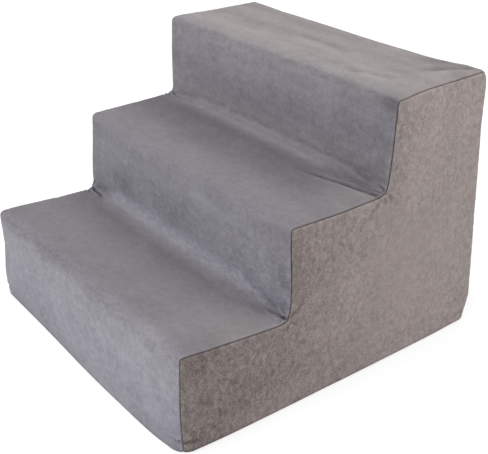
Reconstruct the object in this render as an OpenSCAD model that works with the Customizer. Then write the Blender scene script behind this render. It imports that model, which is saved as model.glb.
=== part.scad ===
// Pet stairs: three foam slabs, glued one on another, in a suede cover that zips off.
// Millimetres. +X is across the stairs, +Y the way they are climbed and +Z up.
// The origin is on the floor, at the middle of the box that the stairs fill.

/* [Steps] */
// Width over the side faces of the cover
stair_width = 398; // [320:1:480]
// Distance from one riser to the next
tread_depth = 132; // [110:1:160]
// Depth of the top step
top_depth = 136; // [110:1:170]
// Height of the first step at its nosing
first_rise = 110; // [95:1:130]
// Height from the first step to the second
second_rise = 98.5; // [85:0.5:120]
// Height from the second step to the third
third_rise = 98.5; // [85:0.5:120]
// How far the top of each riser leans back
riser_lean = 4; // [0:0.5:8]
// How far the first tread falls between its nosing and the next riser
tread_fall = 6.5; // [0:0.5:10]
// How far the top of the back leans in
back_lean = 3; // [0:0.5:6]

/* [Cover] */
// Thickness of the suede with its backing
cover_t = 1.5; // [1:0.1:2.5]
// Slack between the cover and the foam
fit_gap = 0.5; // [0.4:0.05:1]
// Rounding along the side seams
seam_r = 6; // [4:0.5:13]
// Rounding of the nosings away from the seams, and of the bottom corners
soft_r = 18; // [15:0.5:22]
// Reach of the cloth that bridges each inner corner
fold_r = 22; // [10:1:28]
// Distance from a side seam at which a nosing has its full roundness
seam_run = 80; // [50:1:120]
// How far a face stands proud in its middle
puff = 2; // [0:0.25:3]
// Gap that each seam leaves between its two panels
seam_gap = 0.4; // [0.3:0.05:0.6]

/* [Base] */
// Thickness of the non-slip base cloth
base_t = 1.1; // [0.8:0.1:1.3]
// Diameter of a grip dot
dot_d = 6; // [4:0.5:10]
// Distance between grip dots
dot_pitch = 30; // [20:1:45]

/* [Foam] */
// Thickness of the glue between two slabs
web_t = 0.4; // [0.2:0.1:1]

/* [Zipper] */
// Height of the zipper above the floor
zip_height = 46; // [40:1:60]
// Width of the slot in which the zipper shows
slot_w = 10; // [9.6:0.1:14]
// Width of each zipper tape behind the cloth
tape_w = 10; // [6:0.5:12]
// Thickness of the tape
tape_t = 0.5; // [0.3:0.05:0.7]
// Thickness of the teeth
teeth_t = 2.2; // [1.6:0.1:2.6]
// Distance between two teeth of one row
tooth_pitch = 2; // [1.6:0.1:3]
// Length of the slider
slider_l = 10; // [8:0.5:13]
// Length of the pull tab from its bar
pull_l = 26; // [16:1:34]
// Width of the pull tab
pull_w = 6; // [5:0.5:8]

/* [Hidden] */

// Colours
suede = [0.58, 0.55, 0.55];
foam_white = [0.90, 0.88, 0.80];
glue_clear = [0.85, 0.80, 0.62];
base_black = [0.16, 0.16, 0.17];
zip_grey = [0.36, 0.35, 0.36];
nickel = [0.72, 0.72, 0.74];

// Levels and places of the sharp stairs that the cloth rounds off
level_1 = first_rise;
level_2 = level_1 + second_rise;
level_3 = level_2 + third_rise;
riser_2 = tread_depth;
riser_3 = 2 * tread_depth;
depth = riser_3 + top_depth;
half_w = stair_width / 2;
// Distance over which the big rounding of a bottom corner dies away
corner_run = 45;
// Distance from the outline at which a side face is fully proud
puff_run = 70;
// How far from an edge the cloth's own lines lie, as shares of the rounding
edge_shares = [0, 1 / 3, 2 / 3, 1];
// Where the faces have a line between their edges, as shares of their length
riser_mid_share = 0.5;
tread_mid_share = 0.55;
// Distances from a side seam at which the step panel has its lines
seam_near = 3.5;
seam_next = 11;
seam_far = 30;

// Base
dot_h = cover_t - base_t;

// Foam
foam_inset = cover_t + fit_gap;
foam_r = soft_r - foam_inset;
foam_fn = 24;
disc_h = 0.01;
// How far behind the second riser the full-height part of the base slab starts
slab_setback = 6;

// Zipper
run_gap = 0.25;
tape_gap = 0.3;
plate_t = 0.8;
// Half widths of the two rows of teeth and of their meshing middle
row_half = 2.6;
mesh_half = 0.6;
spine_w = 0.8;
tooth_w = 0.8;
slider_half_tail = 3.7;
slider_half_mouth = 4.4;
flange_w = 0.75;
diamond_share = 0.34;
stop_l = 2.4;
stop_wall = 0.7;
crown_w = 1.8;
crown_half_l = 3.4;
crown_h = 3.5;
crown_bar_t = 0.9;
pull_t = 1.2;
bar_r = 0.65;
bar_height = 1.5;
window_half_w = 1.25;
window_l = 4.6;
pull_tip_r = 2;
// Distance from the side faces at which the zipper's tapes end and its slot closes
tape_end = 16;
slot_end = 20;
cut_over = 1;

// Height of the slider's plates from the middle of the tape
plate_in = teeth_t / 2 + run_gap;
plate_out = plate_in + plate_t;
// How far the slider's crown stands out behind the cover
zip_stand = plate_out + crown_h - cover_t - tape_gap - tape_t / 2;
centre_y = (depth + zip_stand) / 2;
// Outer face of the back at the zipper's height, and the middle of the tapes
back_y = depth - centre_y - back_lean * zip_height / level_3;
zip_y = back_y - cover_t - tape_gap - tape_t / 2;
zip_half_l = half_w - tape_end;
stop_x = zip_half_l - slot_end + tape_end - stop_l;
slider_x = stop_x - run_gap - slider_l / 2;
teeth_start_x = -stop_x + stop_l + run_gap;
teeth_end_x = slider_x - run_gap;
bar_y = zip_y + plate_out + bar_height;

function smooth(t) = let(s = min(1, max(0, t))) s * s * (3 - 2 * s);

// Foot, height and front of the riser beside a given height, and the level above a place
function band_foot(z) = z > level_2 ? level_2 : z > level_1 ? level_1 : 0;
function band_rise(z) = z > level_2 ? third_rise : z > level_1 ? second_rise : first_rise;
function band_front(z) = z > level_2 ? riser_3 : z > level_1 ? riser_2 : 0;
function level_over(y) = y < riser_2 ? level_1 : y < riser_3 ? level_2 : level_3;

// Shift that leans the risers and the back and lets the first tread fall
function shift(p) =
    let(y = p[1], z = p[2],
        lean = riser_lean * (z - band_foot(z)) / band_rise(z)
            * (1 - smooth((y - band_front(z)) / tread_depth)),
        lean_in = back_lean * z / level_3 * smooth((y - riser_3) / top_depth),
        fall = tread_fall * min(1, z / level_1) * min(1, max(0, y / riser_2)))
    [0, lean - lean_in - centre_y, -fall];

// Outer corners of the outline: place and the two directions that lead inward
outer_corners = [
    [0, 0, 1, 1], [depth, 0, -1, 1],
    [0, level_1, 1, -1], [riser_2, level_2, 1, -1], [riser_3, level_3, 1, -1], [depth, level_3, -1, -1],
];
inner_corners = [[riser_2, level_1], [riser_3, level_2]];

// Rounding of an outer corner, by how far the place is from the seams (0 at a seam, 1 away)
function corner_r(c, away) = c[1] == 0 ? soft_r + (seam_r - soft_r) * away
    : seam_r + (soft_r - seam_r) * away;

// A place of the outline after rounding: y, z, inward y, inward z, distance to the outline
function rounded_corner(c, r, y, z) =
    let(q = [r - (y - c[0]) * c[2], r - (z - c[1]) * c[3]], reach = max(q), n = q / norm(q))
    [c[0] + (r - reach * n[0]) * c[2], c[1] + (r - reach * n[1]) * c[3], n[0] * c[2], n[1] * c[3], r - reach];

function bridged_corner(c, r, y, z) =
    let(q = [r - (c[0] - y), r - (z - c[1])], n = q / norm(q))
    [c[0] - r + r * n[0], c[1] + r - r * n[1], n[0], -n[1], 0];

function plain_place(y, z) =
    let(front = y - band_front(z), top = level_over(y) - z, back = depth - y,
        inner = [for (c = inner_corners) if (y >= c[0] && z <= c[1]) max(y - c[0], c[1] - z)],
        near = min(concat([front, top, back, z], inner)),
        at = [for (c = inner_corners)
            if (y >= c[0] && z <= c[1] && max(y - c[0], c[1] - z) == near) c],
        m = len(at) > 0 ? (near == 0 ? [1, -1] : [y - at[0][0], z - at[0][1]] / near)
            : near == front ? [1, 0] : near == top ? [0, -1] : near == back ? [-1, 0] : [0, 1])
    [y, z, m[0], m[1], near];

function in_corner(c, r, y, z) =
    let(a = (y - c[0]) * c[2], b = (z - c[1]) * c[3]) a >= 0 && b >= 0 && a < r && b < r;

function in_fold(c, r, y, z) =
    y <= c[0] && z >= c[1] && c[0] - y < r && z - c[1] < r && (y == c[0] || z == c[1]);

function place(y, z, away) =
    let(outer = [for (c = outer_corners) if (in_corner(c, corner_r(c, away), y, z)) c],
        inner = [for (c = inner_corners) if (in_fold(c, fold_r * away, y, z)) c])
    len(outer) > 0 ? rounded_corner(outer[0], corner_r(outer[0], away), y, z)
    : len(inner) > 0 ? bridged_corner(inner[0], fold_r * away, y, z)
    : plain_place(y, z);

// Rounding between a side face and the outline, larger at the bottom corners
function side_r(y, z) =
    let(off = max(min(y, depth - y), z) - soft_r)
    soft_r + (seam_r - soft_r) * smooth(off / corner_run);

// A point of the sharp stairs, moved to where the cloth lies
// proud is its share of the puff, under the depth below the cloth's face, trim the seam's gap
function cloth(p, proud, under, trim) =
    let(from_side = half_w - abs(p[0]),
        e = place(p[1], p[2], smooth(from_side / seam_run)),
        r = side_r(p[1], p[2]),
        from_edge = max(trim, e[4]),
        q = [max(0, r - from_side), max(0, r - from_edge)],
        n = q / norm(q),
        x = q[0] > 0 ? half_w - r + r * n[0] : abs(p[0]),
        inset = q[1] > 0 ? r - r * n[1] : from_edge,
        out = proud * puff - under,
        inward = inset - e[4] - n[1] * out)
    [sign(p[0]) * (x + n[0] * out), e[0] + e[2] * inward, e[1] + e[3] * inward] + shift(p);

function reversed(list) = [for (i = [len(list) - 1:-1:0]) list[i]];

// Lines up to an edge and away from it, by the rounding there
function lines_to(edge, r) = [for (s = reversed(edge_shares)) if (s > 0) edge - s * r];
function lines_from(edge, r) = [for (s = edge_shares) if (s > 0) edge + s * r];
function between(a, b, share) = a + (b - a) * share;

// A sheet of cloth: outer and inner points in rows, over the cells that the mask keeps
module sheet(outer, inner, keep) {
    rows = len(outer);
    cols = len(outer[0]);
    count = rows * cols;
    function at(i, j) = i * cols + j;
    function kept(i, j) = i >= 0 && j >= 0 && i < rows - 1 && j < cols - 1 && keep[i][j];
    function rim(a, b) = [[a, b, count + b], [a, count + b, count + a]];
    faces = [
        for (i = [0:rows - 2])
            for (j = [0:cols - 2])
                if (kept(i, j))
                    each let(a = at(i, j), b = at(i + 1, j), c = at(i + 1, j + 1), d = at(i, j + 1))
                        concat(
                            [[a, b, c], [a, c, d]],
                            [[count + a, count + c, count + b], [count + a, count + d, count + c]],
                            kept(i - 1, j) ? [] : rim(a, d),
                            kept(i + 1, j) ? [] : rim(c, b),
                            kept(i, j - 1) ? [] : rim(b, a),
                            kept(i, j + 1) ? [] : rim(d, c)
                        )
    ];
    polyhedron(points = concat([for (row = outer) each row], [for (row = inner) each row]), faces = faces);
}

function all_kept(rows) = [for (i = [1:len(rows) - 1]) [for (j = [1:len(rows[0]) - 1]) true]];

// Foam

// One corner of a slab: a ball where the slab's edges are free, a disc where it meets a slab
module foam_corner(x, y, z, level, ball) {
    lean = shift([x, y, level]);
    translate([x, y + lean[1], z])
        if (ball) sphere(r = foam_r, $fn = foam_fn);
        else cylinder(r = foam_r, h = disc_h, center = true, $fn = foam_fn);
}

// Both corners of a slab on a line across the stairs
module foam_edge(y, z, level, ball) {
    for (side = [-1, 1])
        foam_corner(side * (half_w - foam_inset - foam_r), y, z, level, ball);
}

function foam_top(level) = level - tread_fall - foam_inset;
front_in = foam_inset + foam_r;
back_in = depth - foam_inset - foam_r;

module foam_base_slab() {
    foot_z = foam_inset + foam_r;
    low_z = foam_top(level_1) - foam_r;
    full_front = riser_2 + foam_inset + slab_setback + foam_r;
    nose_z = level_1 - foam_inset - foam_r + shift([0, front_in, level_1])[2];
    color(foam_white)
        difference() {
            union() {
                hull() {
                    foam_edge(front_in, foot_z, foot_z, true);
                    foam_edge(front_in, nose_z, level_1, true);
                    foam_edge(riser_2 + foam_inset, foot_z, foot_z, true);
                    foam_edge(riser_2 + foam_inset, low_z, level_1, true);
                }
                hull() {
                    foam_edge(riser_2 + foam_inset, foot_z, foot_z, true);
                    foam_edge(full_front, foam_top(level_1) - disc_h / 2, level_1, false);
                    foam_edge(back_in, foot_z, foot_z, true);
                    foam_edge(back_in, foam_top(level_1) - disc_h / 2, level_1, false);
                }
            }
            // Hollow that the inside of the zipper presses into the foam
            translate([-half_w, zip_y - plate_out - run_gap, zip_height - row_half - tape_w - run_gap])
                cube([stair_width, plate_out + cover_t + cut_over, 2 * (row_half + tape_w + run_gap)]);
        }
}

// A slab over another: square where it lies on it, round along its free top edges
module upper_slab(front, level_below, level, back_ball) {
    low_z = foam_top(level_below) + web_t + disc_h / 2;
    back_z = back_ball ? foam_top(level) - foam_r : foam_top(level) - disc_h / 2;
    color(foam_white)
        hull() {
            foam_edge(front + front_in, low_z, level_below, false);
            foam_edge(front + front_in, foam_top(level) - foam_r, level, true);
            foam_edge(back_in, low_z, level_below, false);
            foam_edge(back_in, back_z, level, back_ball);
        }
}

module foam_middle_slab() {
    upper_slab(riser_2, level_1, level_2, false);
}

module foam_top_slab() {
    upper_slab(riser_3, level_2, level_3, true);
}

module glue_web(front, level) {
    web_l = back_in - back_lean - front - front_in;
    web_w = stair_width - 2 * (foam_inset + foam_r);
    color(glue_clear)
        translate([-web_w / 2, front + front_in - centre_y, foam_top(level)])
            cube([web_w, web_l, web_t]);
}

module glue_web_lower() {
    glue_web(riser_2, level_1);
}

module glue_web_upper() {
    glue_web(riser_3, level_2);
}

// Cover

// Lines of the step panel from the front hem up the risers and treads to the back: y, z, puff
hem_path = [for (s = reversed(edge_shares)) [s * soft_r, 0, 0]];
function riser_path(y, foot, foot_r, top) = concat(
    [for (z = lines_from(foot, foot_r)) [y, z, 0]],
    [[y, between(foot, top, riser_mid_share), 1]],
    [for (z = lines_to(top, soft_r)) [y, z, 0]],
    [[y, top, 0]]
);
function tread_path(z, nose, end, end_r) = concat(
    [for (y = lines_from(nose, soft_r)) [y, z, 0]],
    [[between(nose, end, tread_mid_share), z, 0]],
    [for (y = lines_to(end, end_r)) [y, z, 0]],
    [[end, z, 0]]
);
step_path = concat(
    hem_path,
    riser_path(0, 0, soft_r, level_1),
    tread_path(level_1, 0, riser_2, fold_r),
    riser_path(riser_2, level_1, fold_r, level_2),
    tread_path(level_2, riser_2, riser_3, fold_r),
    riser_path(riser_3, level_2, fold_r, level_3),
    tread_path(level_3, riser_3, depth, soft_r),
    [for (s = edge_shares) if (s > 0) [depth, level_3 - s * soft_r, 0]]
);

// Distances of lines from the side, from the left seam to the middle and on to the right one
step_lines = [seam_gap, seam_near, seam_next, seam_far, seam_run, half_w];
function across(lines, hem) =
    let(xs = [for (d = lines) half_w - hem - d * (half_w - hem) / half_w])
    concat([for (x = xs) -x], [for (i = [len(xs) - 2:-1:0]) xs[i]]);

function step_points(under) = [
    for (s = step_path)
        [for (x = across(step_lines, s[1] == 0 ? s[0] : 0))
            cloth([x, s[0], s[1]], s[2] * smooth((half_w - abs(x)) / seam_run), under, 0)]
];

module cover_step_panel() {
    outer = step_points(0);
    color(suede)
        sheet(outer, step_points(cover_t), all_kept(outer));
}

side_y = concat(
    [0], lines_from(0, soft_r), [between(0, riser_2, tread_mid_share)],
    lines_to(riser_2, fold_r), [riser_2], lines_from(riser_2, soft_r),
    [between(riser_2, riser_3, tread_mid_share)], lines_to(riser_3, fold_r), [riser_3],
    lines_from(riser_3, soft_r), [between(riser_3, depth, tread_mid_share)],
    lines_to(depth, soft_r), [depth]
);
side_z = concat(
    [0], lines_from(0, soft_r), [between(0, level_1, riser_mid_share)],
    lines_to(level_1, soft_r), [level_1], lines_from(level_1, fold_r),
    [between(level_1, level_2, riser_mid_share)], lines_to(level_2, soft_r), [level_2],
    lines_from(level_2, fold_r), [between(level_2, level_3, riser_mid_share)],
    lines_to(level_3, soft_r), [level_3]
);
side_hems = [for (s = reversed(edge_shares)) if (s > 0) s * soft_r];

// Points of the side panel: its hem rows under the stairs, the bottom edge and the rows above
function side_hem_row(side, hem, under) =
    let(ends = hem + seam_gap)
    [for (y = side_y)
        cloth([side * (half_w - hem), ends + y * (depth - 2 * ends) / depth, 0], 0, under, 0)];
function side_row(side, z, under) = [
    for (y = side_y)
        let(in = plain_place(y, z)[4])
        cloth([side * half_w, y, z], smooth(in / puff_run), under, seam_gap)
];
function side_points(side, under) = concat(
    [for (hem = side_hems) side_hem_row(side, hem, under)],
    [side_hem_row(side, 0, under)],
    [for (z = side_z) if (z > 0) side_row(side, z, under)]
);
function turned(rows, side) = side > 0 ? rows : [for (row = rows) reversed(row)];

module cover_side_panel(side) {
    hem_rows = len(side_hems);
    below = [
        for (i = [0:hem_rows + len(side_z) - 2])
            [for (j = [0:len(side_y) - 2])
                i < hem_rows || side_z[i - hem_rows + 1] <= level_over(side_y[j])]
    ];
    color(suede)
        sheet(turned(side_points(side, 0), side), turned(side_points(side, cover_t), side), turned(below, side));
}

module cover_side_panel_left() {
    cover_side_panel(-1);
}

module cover_side_panel_right() {
    cover_side_panel(1);
}

// The slot for the zipper narrows to a seam beside the side panels
back_lines = [seam_gap, seam_near, seam_next, tape_end, slot_end, seam_run, half_w];
function slot_half(from_side) = from_side < (tape_end + slot_end) / 2 ? seam_gap / 2 : slot_w / 2;
// Height on the sharp stairs that the fall of the first step brings to a given height
function unfallen(z) = z / (1 - tread_fall / level_1);
back_shares = [0, 0.1, 0.4, 0.75, 1];
back_proud_shares = [0, 0, 1, 1, 0];

function back_points(under) = [
    for (k = [0:len(back_shares) - 1])
        [for (x = reversed(across(back_lines, 0)))
            let(from_side = half_w - abs(x),
                low = unfallen(zip_height + slot_half(from_side)),
                z = between(low, level_3 - soft_r - seam_gap, back_shares[k]))
            cloth([x, depth, z], back_proud_shares[k] * smooth(from_side / seam_run), under, 0)]
];

module cover_back_panel() {
    outer = back_points(0);
    color(suede)
        sheet(outer, back_points(cover_t), all_kept(outer));
}

function hem_strip_points(under) = concat(
    [for (s = reversed(edge_shares))
        [for (x = reversed(across(back_lines, s * soft_r)))
            cloth([x, depth - s * soft_r, 0], 0, under, 0)]],
    [for (z = lines_from(0, soft_r))
        [for (x = reversed(across(back_lines, 0))) cloth([x, depth, z], 0, under, 0)]],
    [[for (x = reversed(across(back_lines, 0)))
        cloth([x, depth, unfallen(zip_height - slot_half(half_w - abs(x)))], 0, under, 0)]]
);

module cover_back_hem_strip() {
    outer = hem_strip_points(0);
    color(suede)
        sheet(outer, hem_strip_points(cover_t), all_kept(outer));
}

base_w = stair_width - 2 * (soft_r + seam_gap);
base_l = depth - 2 * (soft_r + seam_gap);

module cover_base_panel() {
    color(base_black)
        translate([-base_w / 2, -base_l / 2 - centre_y + depth / 2, dot_h])
            cube([base_w, base_l, base_t]);
}

module base_grip_dots() {
    across_n = floor((base_w - 2 * dot_d) / dot_pitch / 2);
    along_n = floor((base_l - 2 * dot_d) / dot_pitch / 2);
    color(base_black)
        for (i = [-across_n:across_n])
            for (j = [-along_n:along_n])
                translate([i * dot_pitch, j * dot_pitch - centre_y + depth / 2, 0])
                    cylinder(d = dot_d, h = dot_h, $fn = 32);
}

// Zipper, drawn closed, with its slider at the right-hand end

module zipper_tape(side) {
    low = side > 0 ? row_half : -row_half - tape_w;
    color(zip_grey)
        translate([-zip_half_l, zip_y - tape_t / 2, zip_height + low])
            cube([2 * zip_half_l, tape_t, tape_w]);
}

module zipper_tape_upper() {
    zipper_tape(1);
}

module zipper_tape_lower() {
    zipper_tape(-1);
}

// One row of teeth on its spine; the two rows stand half a pitch apart
module zipper_teeth(side, offset) {
    count = floor((teeth_end_x - teeth_start_x - offset - tooth_w) / tooth_pitch);
    spine_low = side > 0 ? row_half - spine_w : -row_half;
    tooth_low = side > 0 ? -mesh_half : -row_half + spine_w;
    color(zip_grey)
        translate([teeth_start_x, zip_y - teeth_t / 2, zip_height]) {
            translate([0, 0, spine_low])
                cube([teeth_end_x - teeth_start_x, teeth_t, spine_w]);
            for (i = [0:count])
                translate([offset + i * tooth_pitch, 0, tooth_low])
                    cube([tooth_w, teeth_t, row_half - spine_w + mesh_half]);
        }
}

module zipper_teeth_upper() {
    zipper_teeth(1, 0);
}

module zipper_teeth_lower() {
    zipper_teeth(-1, tooth_pitch / 2);
}

// A clamp over the edges of the tapes, between two heights from the middle of the zipper
module zipper_stop(low, high) {
    difference() {
        translate([0, zip_y - tape_t / 2 - stop_wall, zip_height + low])
            cube([stop_l, tape_t + 2 * stop_wall, high - low]);
        for (side = [-1, 1])
            translate([-cut_over, zip_y - tape_t / 2, zip_height + (side > 0 ? row_half : -row_half - tape_w)])
                cube([stop_l + 2 * cut_over, tape_t, tape_w]);
    }
}

module zipper_top_stops() {
    color(nickel)
        translate([stop_x, 0, 0]) {
            zipper_stop(row_half - stop_wall, row_half + stop_wall);
            zipper_stop(-row_half - stop_wall, -row_half + stop_wall);
        }
}

module zipper_bottom_stop() {
    color(nickel)
        translate([-stop_x, 0, 0])
            zipper_stop(-row_half - stop_wall, row_half + stop_wall);
}

// Outline of the slider seen from behind, narrower at its tail, drawn in by a wall
module slider_outline(wall) {
    tail = slider_half_tail - wall;
    mouth = slider_half_mouth - wall;
    polygon([
        [-slider_l / 2, -tail], [0, -tail], [slider_l / 2, -mouth],
        [slider_l / 2, mouth], [0, tail], [-slider_l / 2, tail],
    ]);
}

module upright(thick) {
    rotate([90, 0, 0])
        linear_extrude(height = thick, center = true)
            children();
}

module zipper_slider() {
    flange_h = plate_in - tape_t / 2 - run_gap / 2;
    color(nickel)
        translate([slider_x, zip_y, zip_height]) {
            for (side = [-1, 1]) {
                translate([0, side * (plate_in + plate_t / 2), 0])
                    upright(plate_t) slider_outline(0);
                translate([0, side * (plate_in - flange_h / 2), 0])
                    upright(flange_h)
                        difference() {
                            slider_outline(0);
                            slider_outline(flange_w);
                        }
            }
            // Wedge that parts the rows and joins the two plates
            upright(2 * plate_in)
                polygon([
                    [slider_l / 2 * (1 - 2 * diamond_share), 0],
                    [slider_l / 2 * (1 - diamond_share), -row_half * diamond_share],
                    [slider_l / 2, 0],
                    [slider_l / 2 * (1 - diamond_share), row_half * diamond_share],
                ]);
            // Crown that the pull tab's bar hangs in
            translate([0, plate_out, 0])
                linear_extrude(height = crown_w, center = true)
                    difference() {
                        crown_outline(0);
                        crown_outline(crown_bar_t);
                    }
        }
}

module crown_outline(wall) {
    half_l = crown_half_l - wall;
    high = crown_h - wall;
    polygon([
        [-half_l, 0], [-half_l, high / 2], [-half_l / 2, high],
        [half_l / 2, high], [half_l, high / 2], [half_l, 0],
    ]);
}

module zipper_pull_tab() {
    color(nickel)
        translate([slider_x, bar_y, zip_height]) {
            cylinder(r = bar_r, h = pull_w, center = true, $fn = 32);
            upright(pull_t)
                difference() {
                    union() {
                        translate([pull_tip_r - pull_l, -pull_w / 2])
                            square([pull_l - pull_tip_r, pull_w]);
                        translate([-pull_l, pull_tip_r - pull_w / 2])
                            square([pull_tip_r, pull_w - 2 * pull_tip_r]);
                        for (side = [-1, 1])
                            translate([pull_tip_r - pull_l, side * (pull_w / 2 - pull_tip_r)])
                                circle(r = pull_tip_r, $fn = 32);
                    }
                    translate([-window_l, -window_half_w])
                        square([window_l + cut_over, 2 * window_half_w]);
                }
        }
}

foam_base_slab();
foam_middle_slab();
foam_top_slab();
glue_web_lower();
glue_web_upper();
cover_step_panel();
cover_side_panel_left();
cover_side_panel_right();
cover_back_panel();
cover_back_hem_strip();
cover_base_panel();
base_grip_dots();
zipper_tape_upper();
zipper_tape_lower();
zipper_teeth_upper();
zipper_teeth_lower();
zipper_top_stops();
zipper_bottom_stop();
zipper_slider();
zipper_pull_tab();
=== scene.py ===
# %% [markdown]
# # Pet stairs in a grey suede cover
#
# The real object is three slabs of foam, glued one on another, in a sewn cover of grey
# microsuede. A zipper across the back lets the cover come off, and a cloth with rubber
# dots under it keeps the stairs from sliding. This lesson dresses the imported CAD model:
# the model says where everything is, and Blender adds the cloth, seams, folds and finish.
# Lengths are worked out in millimetres, as a maker would, and each mesh is turned into
# metres when it is made.

import math

import bmesh
import bpy
import numpy as np
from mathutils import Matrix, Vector, noise


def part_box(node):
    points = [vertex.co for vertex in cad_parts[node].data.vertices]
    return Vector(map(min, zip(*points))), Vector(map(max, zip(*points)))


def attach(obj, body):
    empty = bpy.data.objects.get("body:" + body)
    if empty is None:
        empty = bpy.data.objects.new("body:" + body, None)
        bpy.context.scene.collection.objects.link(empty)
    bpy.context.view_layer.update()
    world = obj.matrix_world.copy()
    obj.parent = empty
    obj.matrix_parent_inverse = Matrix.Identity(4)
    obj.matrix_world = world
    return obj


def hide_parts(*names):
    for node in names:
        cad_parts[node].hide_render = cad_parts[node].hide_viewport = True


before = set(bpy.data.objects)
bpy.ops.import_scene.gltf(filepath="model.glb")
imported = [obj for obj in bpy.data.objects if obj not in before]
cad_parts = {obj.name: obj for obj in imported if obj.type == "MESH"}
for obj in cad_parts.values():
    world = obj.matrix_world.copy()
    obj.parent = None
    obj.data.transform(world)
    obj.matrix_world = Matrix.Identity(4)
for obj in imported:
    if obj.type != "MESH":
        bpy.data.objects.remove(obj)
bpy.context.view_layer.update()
MM = 0.001

# %% [markdown]
# ## Camera, floor and light
#
# The camera stands where the photographer stood: a little above the stairs, to the right
# of the front, with a short telephoto lens. Its place was worked out from the corners of
# the stairs. The stairs were lit in a white tent, so almost the same light comes from all
# sides. A white world does that best. Three large soft lamps give the cloth some shape.

# %% Camera
camera = bpy.data.objects.new("camera", bpy.data.cameras.new("camera"))
bpy.context.scene.collection.objects.link(camera)
bpy.context.scene.camera = camera
camera.location = (0.8158, -0.5667, 0.6160)
camera.rotation_euler = [math.radians(a) for a in (62.625, 1.334, 53.397)]
camera.data.sensor_width = 36
camera.data.lens = 70.77
camera.data.clip_start = 0.01
bpy.context.scene.view_settings.view_transform = "Standard"
print("camera", tuple(round(v, 3) for v in camera.location))

# %% [markdown]
# Every finish below is a small network of nodes. These helpers keep such a network
# readable: `node` adds a node and connects or fills its sockets, `new_finish` starts a
# material whose shader has its constant values set on the shader's own sockets, and
# `surface` joins a colour and a bump to that shader.


# %% Helpers for nodes
def node(tree, kind, out=0, **inputs):
    """Adds a node: set_ and a name sets a property, i and a number names a socket."""
    made = tree.nodes.new("ShaderNode" + kind)
    for name, value in inputs.items():
        if name.startswith("set_"):
            setattr(made, name[4:], value)
            continue
        socket = made.inputs[int(name[1:]) if name[1:].isdigit() else name]
        if isinstance(value, bpy.types.NodeSocket):
            tree.links.new(value, socket)
        else:
            socket.default_value = value
    return made.outputs[out] if len(made.outputs) else None


def maths(tree, what, a, b):
    return node(tree, "Math", set_operation=what, i0=a, i1=b)


def blended(tree, *parts):
    """The sum of parts, each given with its weight."""
    total = None
    for part, weight in parts:
        mark = maths(tree, "MULTIPLY", part, weight)
        total = maths(tree, "ADD", total, mark) if total else mark
    return total


def cloud(tree, where, scale, detail=2.0, rough=0.5, twist=0.0):
    """Soft noise from 0 to 1, with its middle at 0.5."""
    return node(tree, "TexNoise", Vector=where, Scale=scale, Detail=detail, Roughness=rough,
                Distortion=twist)


def object_place(tree):
    return node(tree, "TexCoord", out=3)


def seen_directly(tree):
    """1 for rays from the camera, a shiny surface or glass, and 0 for all others."""
    camera_ray, glossy_ray, glass_ray = (node(tree, "LightPath", out=k) for k in (0, 3, 6))
    return maths(tree, "MAXIMUM", maths(tree, "MAXIMUM", camera_ray, glossy_ray), glass_ray)


print("a finish is made of nodes")


# %% Helpers for finishes
def linear(r, g, b):
    """A colour as it is read off a screen, from 0 to 255, as Blender's own linear colour."""
    shares = (c / 255 for c in (r, g, b))
    return tuple(c / 12.92 if c < 0.04045 else ((c + 0.055) / 1.055) ** 2.4 for c in shares)


def between_colours(tree, share, dark, light):
    """A colour from dark, where share is 0, to light, where it is 1, as read off a screen."""
    ramp = tree.nodes.new("ShaderNodeValToRGB")
    for element, colour in zip(ramp.color_ramp.elements, (dark, light)):
        element.color = (*linear(*colour), 1)
    tree.links.new(share, ramp.inputs["Fac"])
    return ramp.outputs["Color"]


def new_finish(name, **constants):
    finish = bpy.data.materials.new(name)
    finish.use_nodes = True
    shader = finish.node_tree.nodes["Principled BSDF"]
    for key, value in constants.items():
        shader.inputs[key.replace("_", " ")].default_value = value
    return finish, finish.node_tree


def surface(tree, colour, height, strength, distance):
    """Gives a finish its colour, and a bump that is distance metres high."""
    shader = tree.nodes["Principled BSDF"]
    bump = node(tree, "Bump", Height=height, Strength=strength, Distance=distance)
    tree.links.new(colour, shader.inputs["Base Color"])
    tree.links.new(bump, shader.inputs["Normal"])


print("grey of the suede, linear:", [round(v, 3) for v in linear(152, 147, 150)])

# %% Floor
floor_mesh = bpy.data.meshes.new("floor")
floor_mesh.from_pydata([(-9, -9, 0), (9, -9, 0), (9, 9, 0), (-9, 9, 0)], [], [(0, 1, 2, 3)])
floor = bpy.data.objects.new("floor", floor_mesh)
floor.location.z = -0.0003
bpy.context.scene.collection.objects.link(floor)

white = (1, 1, 1, 1)
floor_finish = bpy.data.materials.new("floor")
floor_finish.use_nodes = True
floor_mesh.materials.append(floor_finish)
tree = floor_finish.node_tree
tree.nodes.clear()
plain = node(tree, "BsdfDiffuse", Color=(0.82, 0.82, 0.82, 1))
shade = node(tree, "BsdfDiffuse", Color=(0.5, 0.5, 0.5, 1))
lit = node(tree, "AddShader", i0=shade, i1=node(tree, "Emission", Color=white, Strength=0.7))
shown = node(tree, "MixShader", Fac=seen_directly(tree), i1=plain, i2=lit)
node(tree, "OutputMaterial", Surface=shown)
print("floor at", round(floor.location.z, 4))

# %% World and lamps
world = bpy.data.worlds.new("white tent")
bpy.context.scene.world = world
world.use_nodes = True
tree = world.node_tree
tree.nodes.clear()
tent, backdrop = (node(tree, "Background", Color=white, Strength=s) for s in (0.66, 1.0))
shown = node(tree, "MixShader", Fac=seen_directly(tree), i1=tent, i2=backdrop)
node(tree, "OutputWorld", Surface=shown)

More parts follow.
